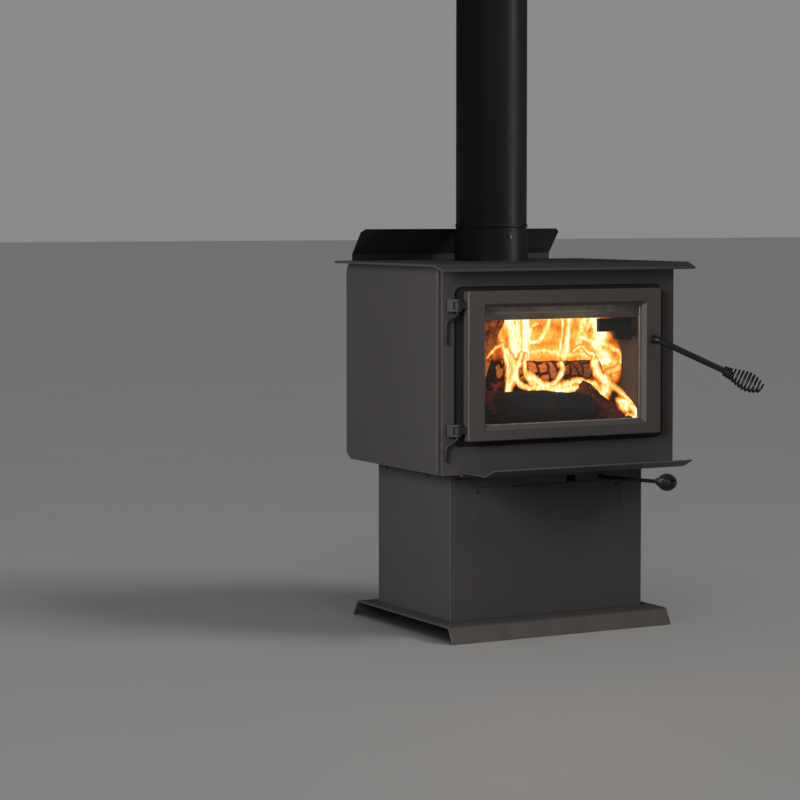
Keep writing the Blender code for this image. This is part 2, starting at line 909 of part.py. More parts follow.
def build_latch_keeper(stove, steel):
    block(
        "latch_keeper",
        (HANDLE_X + 0.0085, DOOR_BACK + GAP, HANDLE_Z - 0.0125),
        (HANDLE_X + 0.0265, PLATE_THICKNESS, HANDLE_Z - 0.0048),
        steel,
        stove,
        0.0010,
    )


# ---------------------------------------------------------------- air control


def build_air_control(slider, black, steel, paint):
    coil_start = Vector((AIR_X, -0.1640, 0.3245))
    direction = Vector((0.0, -1.0, 0.06)).normalized()
    grip_length = 0.058
    rod_end = coil_start + direction * 0.014
    rod(
        "air_control_rod",
        bent_path([(AIR_X, 0.1990, AIR_Z), (AIR_X, 0.0300, AIR_Z), rod_end], 0.020),
        AIR_RADIUS,
        black,
        slider,
        (AIR_X, 0.155, AIR_Z),
    )
    wire = 0.0017
    shape = barrel_radius(AIR_RADIUS + wire + 0.0004, 0.0160, 0.0045, 0.58)
    rod(
        "air_control_coil",
        coil_path(coil_start, direction, grip_length, 14.0, 7.0, 0.0041, shape),
        wire,
        black,
        slider,
        (AIR_X, 0.155, AIR_Z),
    )
    low = AIR_Z + AIR_RADIUS + GAP
    damper_low = (AIR_X - 0.038, 0.115, low)
    damper_high = (AIR_X + 0.038, 0.200, low + 0.0020)
    block("air_damper", damper_low, damper_high, steel, slider, 0.0004)
    behind = PEDESTAL_FRONT + SHEET_THICKNESS + GAP
    shutter_low = (AIR_X - 0.0605, behind, 0.3065)
    shutter_high = (AIR_X + 0.0165, behind + SHEET_THICKNESS, 0.3275)
    shutter = block("slot_shutter", shutter_low, shutter_high, paint, slider)
    hole_at = (AIR_X, behind, AIR_Z)
    along_y = (math.radians(90), 0.0, 0.0)
    cut(shutter, round_cutter("rod_hole", hole_at, AIR_RADIUS + 0.0005, 0.02, slider, along_y, 20))


def build_stove():
    paint = make_material("charcoal_paint", (0.045, 0.043, 0.041), 0.45)
    dark_paint = make_material("dark_paint", (0.025, 0.024, 0.023), 0.55)
    pipe_paint = make_material("pipe_paint", (0.018, 0.018, 0.018), 0.42)
    black = make_material("handle_black", (0.015, 0.015, 0.015), 0.35)
    steel = make_material("bare_steel", (0.33, 0.32, 0.31), 0.45, 1.0)
    screw_finish = make_material("black_screw", (0.03, 0.03, 0.03), 0.30, 0.6)
    glass = make_material("clear_glass", (0.90, 0.90, 0.88), 0.03, 0.0, 1.0)
    rope = make_material("gasket_rope", (0.05, 0.05, 0.05), 0.95)
    brick = make_material("firebrick", (0.42, 0.28, 0.19), 0.90)
    board = make_material("baffle_board", (0.62, 0.56, 0.46), 0.92)

    stove = body_empty("stove_origin", (0.0, 0.0, 0.0))
    stove.location = (-CENTRE_X, -CENTRE_Y, 0.0)
    door = body_empty("door_axis", (HINGE_X, HINGE_Y, 0.561), stove)
    handle = body_empty("handle_axis", (HANDLE_X, DOOR_FRONT, HANDLE_Z), door)
    slider = body_empty("air_control_axis", (AIR_X, 0.155, AIR_Z), stove)

    build_casing(stove, paint, dark_paint)
    build_rear_shield(stove, paint)
    build_flue(stove, pipe_paint, screw_finish)
    build_pedestal(stove, paint, screw_finish)
    build_base(stove, paint)
    build_ash_lip(stove, paint)
    build_bricks(stove, brick)
    build_air_path(stove, steel, board, dark_paint)
    build_hinges(stove, door, dark_paint)
    build_door(door, paint, glass, rope, dark_paint, steel)
    build_handle(handle, black, steel)
    build_latch_keeper(stove, steel)
    build_air_control(slider, black, steel, paint)


clear_scene()
PARTS = new_collection("wood_burning_stove")
CUTTERS = new_collection("cutters")
build_stove()
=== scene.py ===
import json
import math

import bmesh
import bpy
import numpy as np
from mathutils import Matrix, Vector, noise

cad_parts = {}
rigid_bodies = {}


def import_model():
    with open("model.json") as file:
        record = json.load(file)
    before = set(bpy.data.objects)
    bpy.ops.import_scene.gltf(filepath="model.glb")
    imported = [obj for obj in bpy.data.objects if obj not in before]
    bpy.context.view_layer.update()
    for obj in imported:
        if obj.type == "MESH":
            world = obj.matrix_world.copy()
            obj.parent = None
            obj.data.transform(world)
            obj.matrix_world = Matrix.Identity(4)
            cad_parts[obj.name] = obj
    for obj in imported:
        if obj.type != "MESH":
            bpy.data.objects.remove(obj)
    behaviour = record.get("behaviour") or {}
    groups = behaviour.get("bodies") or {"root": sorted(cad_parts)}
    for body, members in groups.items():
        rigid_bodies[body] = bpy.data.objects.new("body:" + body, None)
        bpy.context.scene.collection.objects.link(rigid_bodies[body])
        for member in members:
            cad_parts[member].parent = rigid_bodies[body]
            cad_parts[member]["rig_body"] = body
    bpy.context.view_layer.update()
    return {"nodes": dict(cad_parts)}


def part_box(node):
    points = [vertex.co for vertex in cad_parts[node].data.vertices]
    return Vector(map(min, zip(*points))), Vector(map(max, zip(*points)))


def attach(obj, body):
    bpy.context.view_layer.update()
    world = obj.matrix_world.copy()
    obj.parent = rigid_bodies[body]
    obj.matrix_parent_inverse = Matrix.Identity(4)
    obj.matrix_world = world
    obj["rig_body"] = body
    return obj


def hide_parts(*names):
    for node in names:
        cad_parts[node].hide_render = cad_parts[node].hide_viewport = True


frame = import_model()
print("frame loaded:", len(frame["nodes"]), "nodes")

# Every place below is given from the middle of the front plate's face, straight down at the floor
plateLow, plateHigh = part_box("front_plate")
middleX = (plateLow.x + plateHigh.x) / 2
faceY = plateLow.y


def spot(x, y, z):
    return Vector((middleX + x, faceY + y, z))


def middleOf(node):
    low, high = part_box(node)
    return (low + high) / 2


# Camera, floor and studio light

viewSettings = {
    "east": -2.7231, "south": -4.3337, "height": 0.8755,
    "turn": 28.435, "tip": 2.717, "lens": 111.77, "lift": -0.09,
}

studioSettings = {
    "floorSize": 120.0,
    "floorColour": (0.84, 0.832, 0.825, 1.0),
    "airColour": (0.98, 0.99, 1.0, 1.0), "airStrength": 0.13, "airShine": 0.016,
    "backdropColour": (1.0, 0.985, 0.97, 1.0), "backdropStrength": 0.26,
    "sun": {"towards": 46.0, "raised": 40.0, "strength": 0.62, "spread": 24.0, "colour": (1.0, 0.95, 0.90)},
    "lamps": [
        # name, place, aimed at height, width, height, watts, colour, and what it is kept off or kept to
        ("leftSoftbox", (-2.15, -1.30, 1.25), 0.55, 1.0, 1.0, 68.0, (0.99, 0.98, 1.0),
         ("EXCLUDE", ("floor", "flue"))),
        ("wallGlow", (-3.4, 1.9, 1.1), 0.50, 2.4, 1.8, 9.0, (0.98, 0.98, 1.0),
         ("EXCLUDE", ("floor", "flue"))),
        ("flueStrip", (2.3, -2.2, 1.25), 1.10, 0.45, 1.5, 20.0, (1.0, 0.94, 0.90), ("INCLUDE", ("flue",))),
        ("topSoftbox", (-0.9, -1.7, 3.1), 0.60, 2.0, 2.0, 9.0, (1.0, 0.98, 0.96), None),
    ],
}


def buildCamera(settings):
    data = bpy.data.cameras.new("viewCamera")
    data.lens = settings["lens"]
    data.shift_y = settings["lift"]
    data.clip_end = 100.0
    camera = bpy.data.objects.new("viewCamera", data)
    bpy.context.scene.collection.objects.link(camera)
    camera.location = spot(settings["east"], settings["south"], settings["height"])
    camera.rotation_euler = (math.radians(90 - settings["tip"]), 0.0, -math.radians(settings["turn"]))
    bpy.context.scene.camera = camera


def aimed(lamp, place, target):
    bpy.context.scene.collection.objects.link(lamp)
    lamp.location = place
    lamp.rotation_euler = (target - place).to_track_quat("-Z", "Y").to_euler()


def buildStudio(settings):
    half = settings["floorSize"] / 2
    mesh = bpy.data.meshes.new("studioFloor")
    corners = [(-half, -half, 0.0), (half, -half, 0.0), (half, half, 0.0), (-half, half, 0.0)]
    mesh.from_pydata(corners, [], [(0, 1, 2, 3)])
    floor = bpy.data.objects.new("studioFloor", mesh)
    bpy.context.scene.collection.objects.link(floor)
    mesh.materials.append(floorMaterial(settings["floorColour"]))

    world = bpy.data.worlds.new("studioAir")
    bpy.context.scene.world = world
    world.use_nodes = True
    tree = world.node_tree
    air = tree.nodes["Background"]
    air.inputs["Color"].default_value = settings["airColour"]
    backdrop = addNode(tree, "ShaderNodeBackground")
    backdrop.inputs["Color"].default_value = settings["backdropColour"]
    backdrop.inputs["Strength"].default_value = settings["backdropStrength"]
    path = addNode(tree, "ShaderNodeLightPath")
    shine = spread(tree, path.outputs["Is Glossy Ray"], 0.0, 1.0, settings["airStrength"],
                   settings["airShine"])
    feed(tree, air.inputs["Strength"], shine)
    mix = addNode(tree, "ShaderNodeMixShader")
    feed(tree, mix.inputs[0], path.outputs["Is Camera Ray"])
    feed(tree, mix.inputs[1], air.outputs[0])
    feed(tree, mix.inputs[2], backdrop.outputs[0])
    feed(tree, tree.nodes["World Output"].inputs["Surface"], mix.outputs[0])
    bpy.context.scene.view_settings.view_transform = "Standard"

    sun = settings["sun"]
    data = bpy.data.lights.new("keyLight", "SUN")
    data.energy, data.angle, data.color = sun["strength"], math.radians(sun["spread"]), sun["colour"]
    side, rise = math.radians(sun["towards"]), math.radians(sun["raised"])
    away = Vector((math.sin(side) * math.cos(rise), -math.cos(side) * math.cos(rise), math.sin(rise)))
    aimed(bpy.data.objects.new("keyLight", data), spot(0.0, 0.2, 0.7) + away * 4.0, spot(0.0, 0.2, 0.7))

    for name, place, aim, width, height, watts, colour, _ in settings["lamps"]:
        data = bpy.data.lights.new(name, "AREA")
        data.shape = "RECTANGLE"
        data.size, data.size_y = width, height
        data.energy, data.color = watts, colour
        lamp = bpy.data.objects.new(name, data)
        aimed(lamp, spot(*place), spot(0.0, 0.15, aim))
    return floor


def flagLamps(settings, groups):
    # a flag keeps a lamp's light off some pieces, or keeps it to them
    for name, *_, flag in settings["lamps"]:
        if flag is None:
            continue
        state, flagged = flag
        pieces = bpy.data.collections.new(name + "Flag")
        for group in flagged:
            for piece in groups[group]:
                pieces.objects.link(piece)
        for item in pieces.collection_objects:
            item.light_linking.link_state = state
        bpy.data.objects[name].light_linking.receiver_collection = pieces


# Shader helpers


def addNode(tree, kind, **settings):
    node = tree.nodes.new(kind)
    for key, value in settings.items():
        setattr(node, key, value)
    return node


def feed(tree, socket, value):
    if isinstance(value, bpy.types.NodeSocket):
        tree.links.new(value, socket)
    else:
        socket.default_value = value


def calc(tree, operation, first, second=0.0, clamp=False):
    node = addNode(tree, "ShaderNodeMath", operation=operation, use_clamp=clamp)
    feed(tree, node.inputs[0], first)
    feed(tree, node.inputs[1], second)
    return node.outputs[0]


def blendColours(tree, share, first, second, mode="MIX"):
    node = addNode(tree, "ShaderNodeMix", data_type="RGBA", blend_type=mode)
    feed(tree, node.inputs[0], share)
    feed(tree, node.inputs[6], first)
    feed(tree, node.inputs[7], second)
    return node.outputs[2]


def spread(tree, value, low, high, newLow, newHigh, soft=False):
    node = addNode(tree, "ShaderNodeMapRange", interpolation_type="SMOOTHSTEP" if soft else "LINEAR")
    for socket, given in zip(node.inputs, (value, low, high, newLow, newHigh)):
        feed(tree, socket, given)
    return node.outputs[0]


def stretched(tree, vector, scale):
    node = addNode(tree, "ShaderNodeMapping")
    feed(tree, node.inputs["Vector"], vector)
    node.inputs["Scale"].default_value = scale
    return node.outputs[0]


def clouds(tree, vector, scale, detail=3.0, rough=0.5, twist=0.0):
    node = addNode(tree, "ShaderNodeTexNoise")
    feed(tree, node.inputs["Vector"], vector)
    feed(tree, node.inputs["Scale"], scale)
    node.inputs["Detail"].default_value = detail
    node.inputs["Roughness"].default_value = rough
    node.inputs["Distortion"].default_value = twist
    return node.outputs[0]


def cells(tree, vector, scale, feature="F1"):
    node = addNode(tree, "ShaderNodeTexVoronoi", feature=feature)
    feed(tree, node.inputs["Vector"], vector)
    feed(tree, node.inputs["Scale"], scale)
    return node.outputs["Distance"]


def ramp(tree, value, stops):
    node = addNode(tree, "ShaderNodeValToRGB")
    feed(tree, node.inputs[0], value)
    points = node.color_ramp.elements
    while len(points) < len(stops):
        points.new(0.5)
    for point, (place, colour) in zip(points, stops):
        point.position = place
        point.color = (*colour, 1.0)
    return node.outputs[0]


def attribute(tree, name):
    return addNode(tree, "ShaderNodeAttribute", attribute_name=name).outputs["Fac"]


def upwards(tree):
    facing = addNode(tree, "ShaderNodeTexCoord").outputs["Normal"]
    parts = addNode(tree, "ShaderNodeSeparateXYZ")
    feed(tree, parts.inputs[0], facing)
    return parts.outputs["Z"]


def newGroup(name, inputs, outputs):
    group = bpy.data.node_groups.new(name, "ShaderNodeTree")
    kinds = {"colour": "NodeSocketColor", "value": "NodeSocketFloat", "vector": "NodeSocketVector"}
    for label, kind in inputs:
        group.interface.new_socket(name=label, in_out="INPUT", socket_type=kinds[kind])
    for label, kind in outputs:
        group.interface.new_socket(name=label, in_out="OUTPUT", socket_type=kinds[kind])
    return group, group.nodes.new("NodeGroupInput").outputs, group.nodes.new("NodeGroupOutput").inputs


def useGroup(tree, group, **values):
    node = addNode(tree, "ShaderNodeGroup", node_tree=group)
    for label, value in values.items():
        feed(tree, node.inputs[label], value)
    return node.outputs


def newMaterial(name):
    material = bpy.data.materials.new(name)
    material.use_nodes = True
    tree = material.node_tree
    shader = tree.nodes["Principled BSDF"]
    where = addNode(tree, "ShaderNodeTexCoord").outputs["Object"]
    return material, tree, shader, where


def raise_(tree, shader, height, depth, strength=1.0):
    bump = addNode(tree, "ShaderNodeBump")
    bump.inputs["Strength"].default_value = strength
    bump.inputs["Distance"].default_value = depth
    feed(tree, bump.inputs["Height"], height)
    feed(tree, shader.inputs["Normal"], bump.outputs[0])


# Shared effects


def buildSprayCoat():
    # the fine pebble of a sprayed high-heat coat, with slow drifts of tone and sheen
    group, given, made = newGroup(
        "sprayCoat",
        [("Place", "vector"), ("Colour", "colour"), ("Pebble", "value"), ("Drift", "value"),
         ("Sheen", "value")],
        [("Colour", "colour"), ("Roughness", "value"), ("Height", "value")],
    )
    pebble = clouds(group, given["Place"], given["Pebble"], 2.0, 0.6)
    drift = clouds(group, given["Place"], 6.0, 4.0, 0.6, 0.3)
    streaks = clouds(group, stretched(group, given["Place"], (9.0, 9.0, 2.0)), 3.0, 3.0, 0.55)
    both = calc(group, "MULTIPLY", calc(group, "SUBTRACT", drift, 0.5), given["Drift"])
    darker = blendColours(group, 1.0, given["Colour"], (0.80, 0.79, 0.78, 1.0), "MULTIPLY")
    lighter = blendColours(group, 1.0, given["Colour"], (1.16, 1.15, 1.13, 1.0), "MULTIPLY")
    share = calc(group, "ADD", both, spread(group, pebble, 0.35, 0.65, 0.35, 0.65))
    feed(group, made["Colour"], blendColours(group, share, darker, lighter))
    sheen = spread(group, streaks, 0.3, 0.7, -0.05, 0.05)
    grit = spread(group, pebble, 0.3, 0.7, -0.03, 0.05)
    feed(group, made["Roughness"], calc(group, "ADD", given["Sheen"], calc(group, "ADD", sheen, grit),
                                        clamp=True))
    feed(group, made["Height"], pebble)
    return group


def buildWornEdgesAndHighlight():
    # where handling and folding have rubbed the coat along an edge, together with a painted highlight: the
    # lighter colour along these edges also stands for light caught on them
    group, given, made = newGroup("wornEdgesAndHighlight", [("Place", "vector"), ("Amount", "value")],
                                  [("Mask", "value")])
    patchy = spread(group, clouds(group, given["Place"], 34.0, 3.0, 0.6), 0.42, 0.66, 0.25, 1.0, True)
    band = calc(group, "MULTIPLY", attribute(group, "edgeBand"), patchy)
    feed(group, made["Mask"], calc(group, "MULTIPLY", band, given["Amount"], clamp=True))
    return group


def buildAshDust():
    # pale dust that settles on faces looking up
    group, given, made = newGroup("ashDust", [("Place", "vector"), ("Amount", "value")], [("Mask", "value")])
    level = spread(group, upwards(group), 0.72, 0.98, 0.0, 1.0, True)
    broad = spread(group, clouds(group, given["Place"], 11.0, 5.0, 0.65), 0.42, 0.72, 0.1, 1.0, True)
    specks = spread(group, clouds(group, given["Place"], 520.0, 2.0, 0.5), 0.52, 0.70, 0.25, 1.0)
    settled = calc(group, "MULTIPLY", calc(group, "MULTIPLY", broad, specks), level)
    feed(group, made["Mask"], calc(group, "MULTIPLY", settled, given["Amount"], clamp=True))
    return group


def buildHeatTint():
    # straw, brown and blue rings that heat leaves on steel
    group, given, made = newGroup(
        "heatTint", [("Place", "vector"), ("Colour", "colour"), ("Amount", "value")], [("Colour", "colour")]
    )
    heat = clouds(group, given["Place"], 5.0, 3.0, 0.5, 1.0)
    tint = ramp(group, heat, [(0.30, (0.55, 0.50, 0.46)), (0.45, (0.50, 0.36, 0.22)),
                              (0.56, (0.30, 0.18, 0.16)),
                              (0.68, (0.18, 0.18, 0.26)), (0.80, (0.45, 0.42, 0.40))])
    feed(group, made["Colour"], blendColours(group, given["Amount"], given["Colour"], tint))
    return group


def buildCharCracks():
    # burnt wood that has shrunk into blocks, with the cracks between them still alight
    group, given, made = newGroup(
        "charCracks",
        [("Place", "vector"), ("Grid", "vector"), ("Glow", "value")],
        [("Glow", "value"), ("Block", "value"), ("Height", "value")],
    )
    wander = addNode(group, "ShaderNodeTexNoise")
    feed(group, wander.inputs["Vector"], given["Place"])
    wander.inputs["Scale"].default_value = 24.0
    wander.inputs["Detail"].default_value = 3.0
    drifted = addNode(group, "ShaderNodeVectorMath", operation="MULTIPLY_ADD")
    feed(group, drifted.inputs[0], wander.outputs["Color"])
    drifted.inputs[1].default_value = (0.018, 0.018, 0.018)
    feed(group, drifted.inputs[2], given["Place"])
    grid = addNode(group, "ShaderNodeVectorMath", operation="MULTIPLY")
    feed(group, grid.inputs[0], drifted.outputs[0])
    feed(group, grid.inputs[1], given["Grid"])
    gap = cells(group, grid.outputs[0], 1.0, "DISTANCE_TO_EDGE")
    fine = cells(group, grid.outputs[0], 3.4, "DISTANCE_TO_EDGE")
    hot = spread(group, clouds(group, given["Place"], 17.0, 3.0, 0.6), 0.44, 0.62, 0.0, 1.0, True)
    wide = spread(group, gap, 0.02, 0.13, 1.0, 0.0, True)
    thin = calc(group, "MULTIPLY", spread(group, fine, 0.02, 0.09, 1.0, 0.0, True), 0.45)
    lit = calc(group, "MULTIPLY", calc(group, "MAXIMUM", wide, thin), hot)
    feed(group, made["Glow"], calc(group, "MULTIPLY", lit, given["Glow"], clamp=True))
    feed(group, made["Block"], spread(group, gap, 0.03, 0.15, 0.0, 1.0, True))
    feed(group, made["Height"], calc(group, "ADD", spread(group, gap, 0.0, 0.25, 0.0, 1.0, True),
                                     calc(group, "MULTIPLY", spread(group, fine, 0.0, 0.2, 0.0, 1.0), 0.3)))
    return group


sprayCoat = buildSprayCoat()
wornEdgesAndHighlight = buildWornEdgesAndHighlight()
ashDust = buildAshDust()
heatTint = buildHeatTint()
charCracks = buildCharCracks()


# Finishes


def floorMaterial(colour):
    material, tree, shader, where = newMaterial("pale_floor")
    drift = clouds(tree, where, 1.4, 4.0, 0.6)
    dim = blendColours(tree, 1.0, colour, (0.94, 0.94, 0.94, 1.0), "MULTIPLY")
    feed(tree, shader.inputs["Base Color"], blendColours(tree, drift, dim, colour))
    shader.inputs["Roughness"].default_value = 0.55
    return material


paintLooks = {
    # each look's bare colour is the lighter colour of rubbed edges, and also a painted highlight along them
    "charcoal_paint": {"colour": (0.046, 0.0435, 0.041), "bare": (0.115, 0.108, 0.100), "sheen": 0.50,
                       "pebble": 950.0, "drift": 0.5, "depth": 0.00010, "wearAndHighlight": 0.55, "dust": 0.04,
                       "gloss": 0.30},
    "door_paint": {"colour": (0.052, 0.0475, 0.0455), "bare": (0.125, 0.116, 0.108), "sheen": 0.47,
                   "pebble": 900.0, "drift": 0.4, "depth": 0.00010, "wearAndHighlight": 0.60, "dust": 0.04,
                   "gloss": 0.32},
    "dark_paint": {"colour": (0.016, 0.015, 0.0145), "bare": (0.075, 0.071, 0.067), "sheen": 0.52,
                   "pebble": 800.0, "drift": 0.5, "depth": 0.00012, "wearAndHighlight": 0.50, "dust": 0.05,
                   "gloss": 0.30},
    "pipe_paint": {"colour": (0.0170, 0.0162, 0.0157), "bare": (0.050, 0.047, 0.045), "sheen": 0.40,
                   "pebble": 1100.0, "drift": 0.6, "depth": 0.00008, "wearAndHighlight": 0.45, "dust": 0.02,
                   "gloss": 0.25},
    "handle_black": {"colour": (0.0085, 0.0085, 0.0088), "bare": (0.055, 0.053, 0.051), "sheen": 0.36,
                     "pebble": 700.0, "drift": 0.5, "depth": 0.00010, "wearAndHighlight": 0.60, "dust": 0.02,
                     "gloss": 0.35},
}


def paintMaterial(name, look):
    material, tree, shader, where = newMaterial(name)
    coat = useGroup(tree, sprayCoat, Place=where, Colour=(*look["colour"], 1.0), Pebble=look["pebble"],
                    Drift=look["drift"], Sheen=look["sheen"])
    wornAndLit = useGroup(tree, wornEdgesAndHighlight, Place=where, Amount=look["wearAndHighlight"])["Mask"]
    dust = useGroup(tree, ashDust, Place=where, Amount=look["dust"])["Mask"]
    # the lighter colour along the rounded edges is rubbed paint and also a painted edge highlight
    thinnedAndLit = blendColours(tree, wornAndLit, coat["Colour"], (*look["bare"], 1.0))
    feed(tree, shader.inputs["Base Color"], blendColours(tree, dust, thinnedAndLit, (0.30, 0.285, 0.265, 1.0)))
    smoother = calc(tree, "SUBTRACT", coat["Roughness"], calc(tree, "MULTIPLY", wornAndLit, 0.12))
    feed(tree, shader.inputs["Roughness"],
         calc(tree, "ADD", smoother, calc(tree, "MULTIPLY", dust, 0.3), clamp=True))
    shader.inputs["Specular IOR Level"].default_value = look["gloss"]
    raise_(tree, shader, coat["Height"], look["depth"])
    return material


def steelMaterial(name, colour, roughness, tint):
    material, tree, shader, where = newMaterial(name)
    tinted = useGroup(tree, heatTint, Place=where, Colour=(*colour, 1.0), Amount=tint)["Colour"]
    brushed = clouds(tree, stretched(tree, where, (4.0, 260.0, 260.0)), 3.0, 3.0, 0.6)
    soot = spread(tree, clouds(tree, where, 9.0, 4.0, 0.6), 0.45, 0.70, 0.0, 0.7, True)
    feed(tree, shader.inputs["Base Color"], blendColours(tree, soot, tinted, (0.03, 0.027, 0.025, 1.0)))
    rough = spread(tree, brushed, 0.3, 0.7, roughness - 0.08, roughness + 0.12)
    feed(tree, shader.inputs["Roughness"],
         calc(tree, "ADD", rough, calc(tree, "MULTIPLY", soot, 0.25), clamp=True))
    feed(tree, shader.inputs["Metallic"], spread(tree, soot, 0.0, 0.7, 0.95, 0.25))
    raise_(tree, shader, brushed, 0.00008)
    return material


def screwMaterial():
    material, tree, shader, where = newMaterial("black_screw")
    grain = clouds(tree, where, 1400.0, 2.0, 0.5)
    wornAndLit = useGroup(tree, wornEdgesAndHighlight, Place=where, Amount=0.9)["Mask"]
    plain = blendColours(tree, grain, (0.020, 0.020, 0.021, 1.0), (0.045, 0.044, 0.043, 1.0))
    # the pale colour on the head's raised rims is rubbed plating and also a painted highlight
    feed(tree, shader.inputs["Base Color"], blendColours(tree, wornAndLit, plain, (0.42, 0.41, 0.39, 1.0)))
    feed(tree, shader.inputs["Roughness"], spread(tree, grain, 0.3, 0.7, 0.26, 0.40))
    shader.inputs["Metallic"].default_value = 0.75
    raise_(tree, shader, grain, 0.00005)
    return material


def ropeMaterial():
    material, tree, shader, where = newMaterial("gasket_rope")
    strands = cells(tree, where, 420.0)
    fluff = clouds(tree, where, 900.0, 3.0, 0.7)
    shade = blendColours(tree, fluff, (0.030, 0.029, 0.028, 1.0), (0.085, 0.082, 0.078, 1.0))
    dark = spread(tree, strands, 0.1, 0.6, 1.0, 0.55)
    feed(tree, shader.inputs["Base Color"], blendColours(tree, dark, (0.012, 0.012, 0.012, 1.0), shade))
    shader.inputs["Roughness"].default_value = 0.95
    shader.inputs["Sheen Weight"].default_value = 0.3
    raise_(tree, shader, calc(tree, "ADD", strands, fluff), 0.0006)
    return material


def brickMaterial(name, pale, burnt, soot):
    material, tree, shader, where = newMaterial(name)
    body = clouds(tree, where, 28.0, 5.0, 0.65)
    grit = clouds(tree, where, 420.0, 3.0, 0.65)
    pits = spread(tree, cells(tree, where, 150.0), 0.05, 0.22, 1.0, 0.0, True)
    base = blendColours(tree, spread(tree, body, 0.3, 0.7, 0.0, 1.0), (*burnt, 1.0), (*pale, 1.0))
    grained = blendColours(tree, spread(tree, grit, 0.3, 0.7, 0.0, 0.5), base,
                           (*[c * 0.6 for c in burnt], 1.0))
    smoke = spread(tree, clouds(tree, where, 7.0, 4.0, 0.6, 0.4), 0.38, 0.66, 0.0, soot, True)
    feed(tree, shader.inputs["Base Color"], blendColours(tree, smoke, grained, (0.035, 0.027, 0.022, 1.0)))
    shader.inputs["Roughness"].default_value = 0.92
    raise_(tree, shader, calc(tree, "SUBTRACT", grit, calc(tree, "MULTIPLY", pits, 0.8)), 0.0011)
    return material


def glassMaterial():
    # the lamps and the fire shine straight through; a little smoke film lies in patches over the glass
    material, tree, shader, where = newMaterial("clear_glass")
    shader.inputs["Base Color"].default_value = (0.985, 0.975, 0.955, 1.0)
    film = spread(tree, clouds(tree, where, 14.0, 4.0, 0.6), 0.35, 0.75, 0.0, 0.035)
    feed(tree, shader.inputs["Roughness"], film)
    shader.inputs["Metallic"].default_value = 0.0
    shader.inputs["Transmission Weight"].default_value = 1.0
    shader.inputs["IOR"].default_value = 1.38
    clear = addNode(tree, "ShaderNodeBsdfTransparent")
    clear.inputs[0].default_value = (0.94, 0.93, 0.91, 1.0)
    path = addNode(tree, "ShaderNodeLightPath")
    mix = addNode(tree, "ShaderNodeMixShader")
    feed(tree, mix.inputs[0], calc(tree, "MAXIMUM", path.outputs["Is Shadow Ray"],
                                   path.outputs["Is Diffuse Ray"]))
    feed(tree, mix.inputs[1], shader.outputs[0])
    feed(tree, mix.inputs[2], clear.outputs[0])
    feed(tree, tree.nodes["Material Output"].inputs["Surface"], mix.outputs[0])
    return material


emberLooks = {
    # grid of the char blocks, light in the cracks, light in the blocks, colours, ash and strength
    "glowing_log": {"grid": (44.0, 30.0, 30.0), "cracks": 0.04, "blocks": 0.62,
                    "char": (0.012, 0.006, 0.004),
                    "wood": (0.30, 0.10, 0.035), "woodShare": 0.85, "ash": 0.04, "strength": 0.95},
    "charred_log": {"grid": (18.0, 30.0, 30.0), "cracks": 0.24, "blocks": 0.0,
                    "char": (0.004, 0.0035, 0.003),
                    "wood": (0.026, 0.018, 0.013), "woodShare": 0.30, "ash": 0.12, "strength": 1.0},
    "split_wood": {"grid": (40.0, 40.0, 16.0), "cracks": 0.55, "blocks": 0.66, "char": (0.045, 0.016, 0.008),
                   "wood": (0.42, 0.17, 0.06), "woodShare": 0.85, "ash": 0.0, "strength": 0.9},
    "red_log": {"grid": (46.0, 58.0, 46.0), "cracks": 0.42, "blocks": 0.10, "char": (0.030, 0.009, 0.006),
                "wood": (0.16, 0.045, 0.022), "woodShare": 0.6, "ash": 0.05, "strength": 0.9},
    "ember_bed": {"grid": (62.0, 62.0, 62.0), "cracks": 0.50, "blocks": 0.14, "char": (0.014, 0.007, 0.005),
                  "wood": (0.09, 0.022, 0.012), "woodShare": 0.45, "ash": 0.06, "strength": 0.7},
}


def emberMaterial(name, look):
    material, tree, shader, where = newMaterial(name)
    cracks = useGroup(tree, charCracks, Place=where, Grid=look["grid"], Glow=look["cracks"])
    fibre = clouds(tree, stretched(tree, where, (36.0, 170.0, 170.0)), 1.0, 4.0, 0.6, 0.4)
    patches = spread(tree, clouds(tree, where, 21.0, 4.0, 0.6), 0.62 - 0.3 * look["woodShare"],
                     0.78 - 0.3 * look["woodShare"], 0.0, 1.0, True)
    wood = blendColours(tree, spread(tree, fibre, 0.3, 0.7, 0.0, 1.0),
                        (*[c * 0.45 for c in look["wood"]], 1.0),
                        (*look["wood"], 1.0))
    burnt = blendColours(tree, calc(tree, "MULTIPLY", patches, cracks["Block"]), (*look["char"], 1.0), wood)
    ash = useGroup(tree, ashDust, Place=where, Amount=look["ash"])["Mask"]
    feed(tree, shader.inputs["Base Color"], blendColours(tree, ash, burnt, (0.30, 0.27, 0.25, 1.0)))
    shader.inputs["Roughness"].default_value = 0.88
    shader.inputs["Specular IOR Level"].default_value = 0.2
    blocks = calc(tree, "MULTIPLY", cracks["Block"],
                  spread(tree, fibre, 0.25, 0.7, look["blocks"] * 0.45, look["blocks"]))
    burning = calc(tree, "MULTIPLY", calc(tree, "MAXIMUM", cracks["Glow"], blocks),
                   attribute(tree, "alight"))
    glow = ramp(tree, burning,
                [(0.0, (0.0, 0.0, 0.0)), (0.20, (0.10, 0.007, 0.001)), (0.45, (0.40, 0.095, 0.012)),
                 (0.70, (0.88, 0.30, 0.05)), (1.0, (1.0, 0.62, 0.17))])
    feed(tree, shader.inputs["Emission Color"], glow)
    shader.inputs["Emission Strength"].default_value = look["strength"]
    raise_(tree, shader, calc(tree, "ADD", cracks["Height"], calc(tree, "MULTIPLY", fibre, 0.07)), 0.0012)
    return material


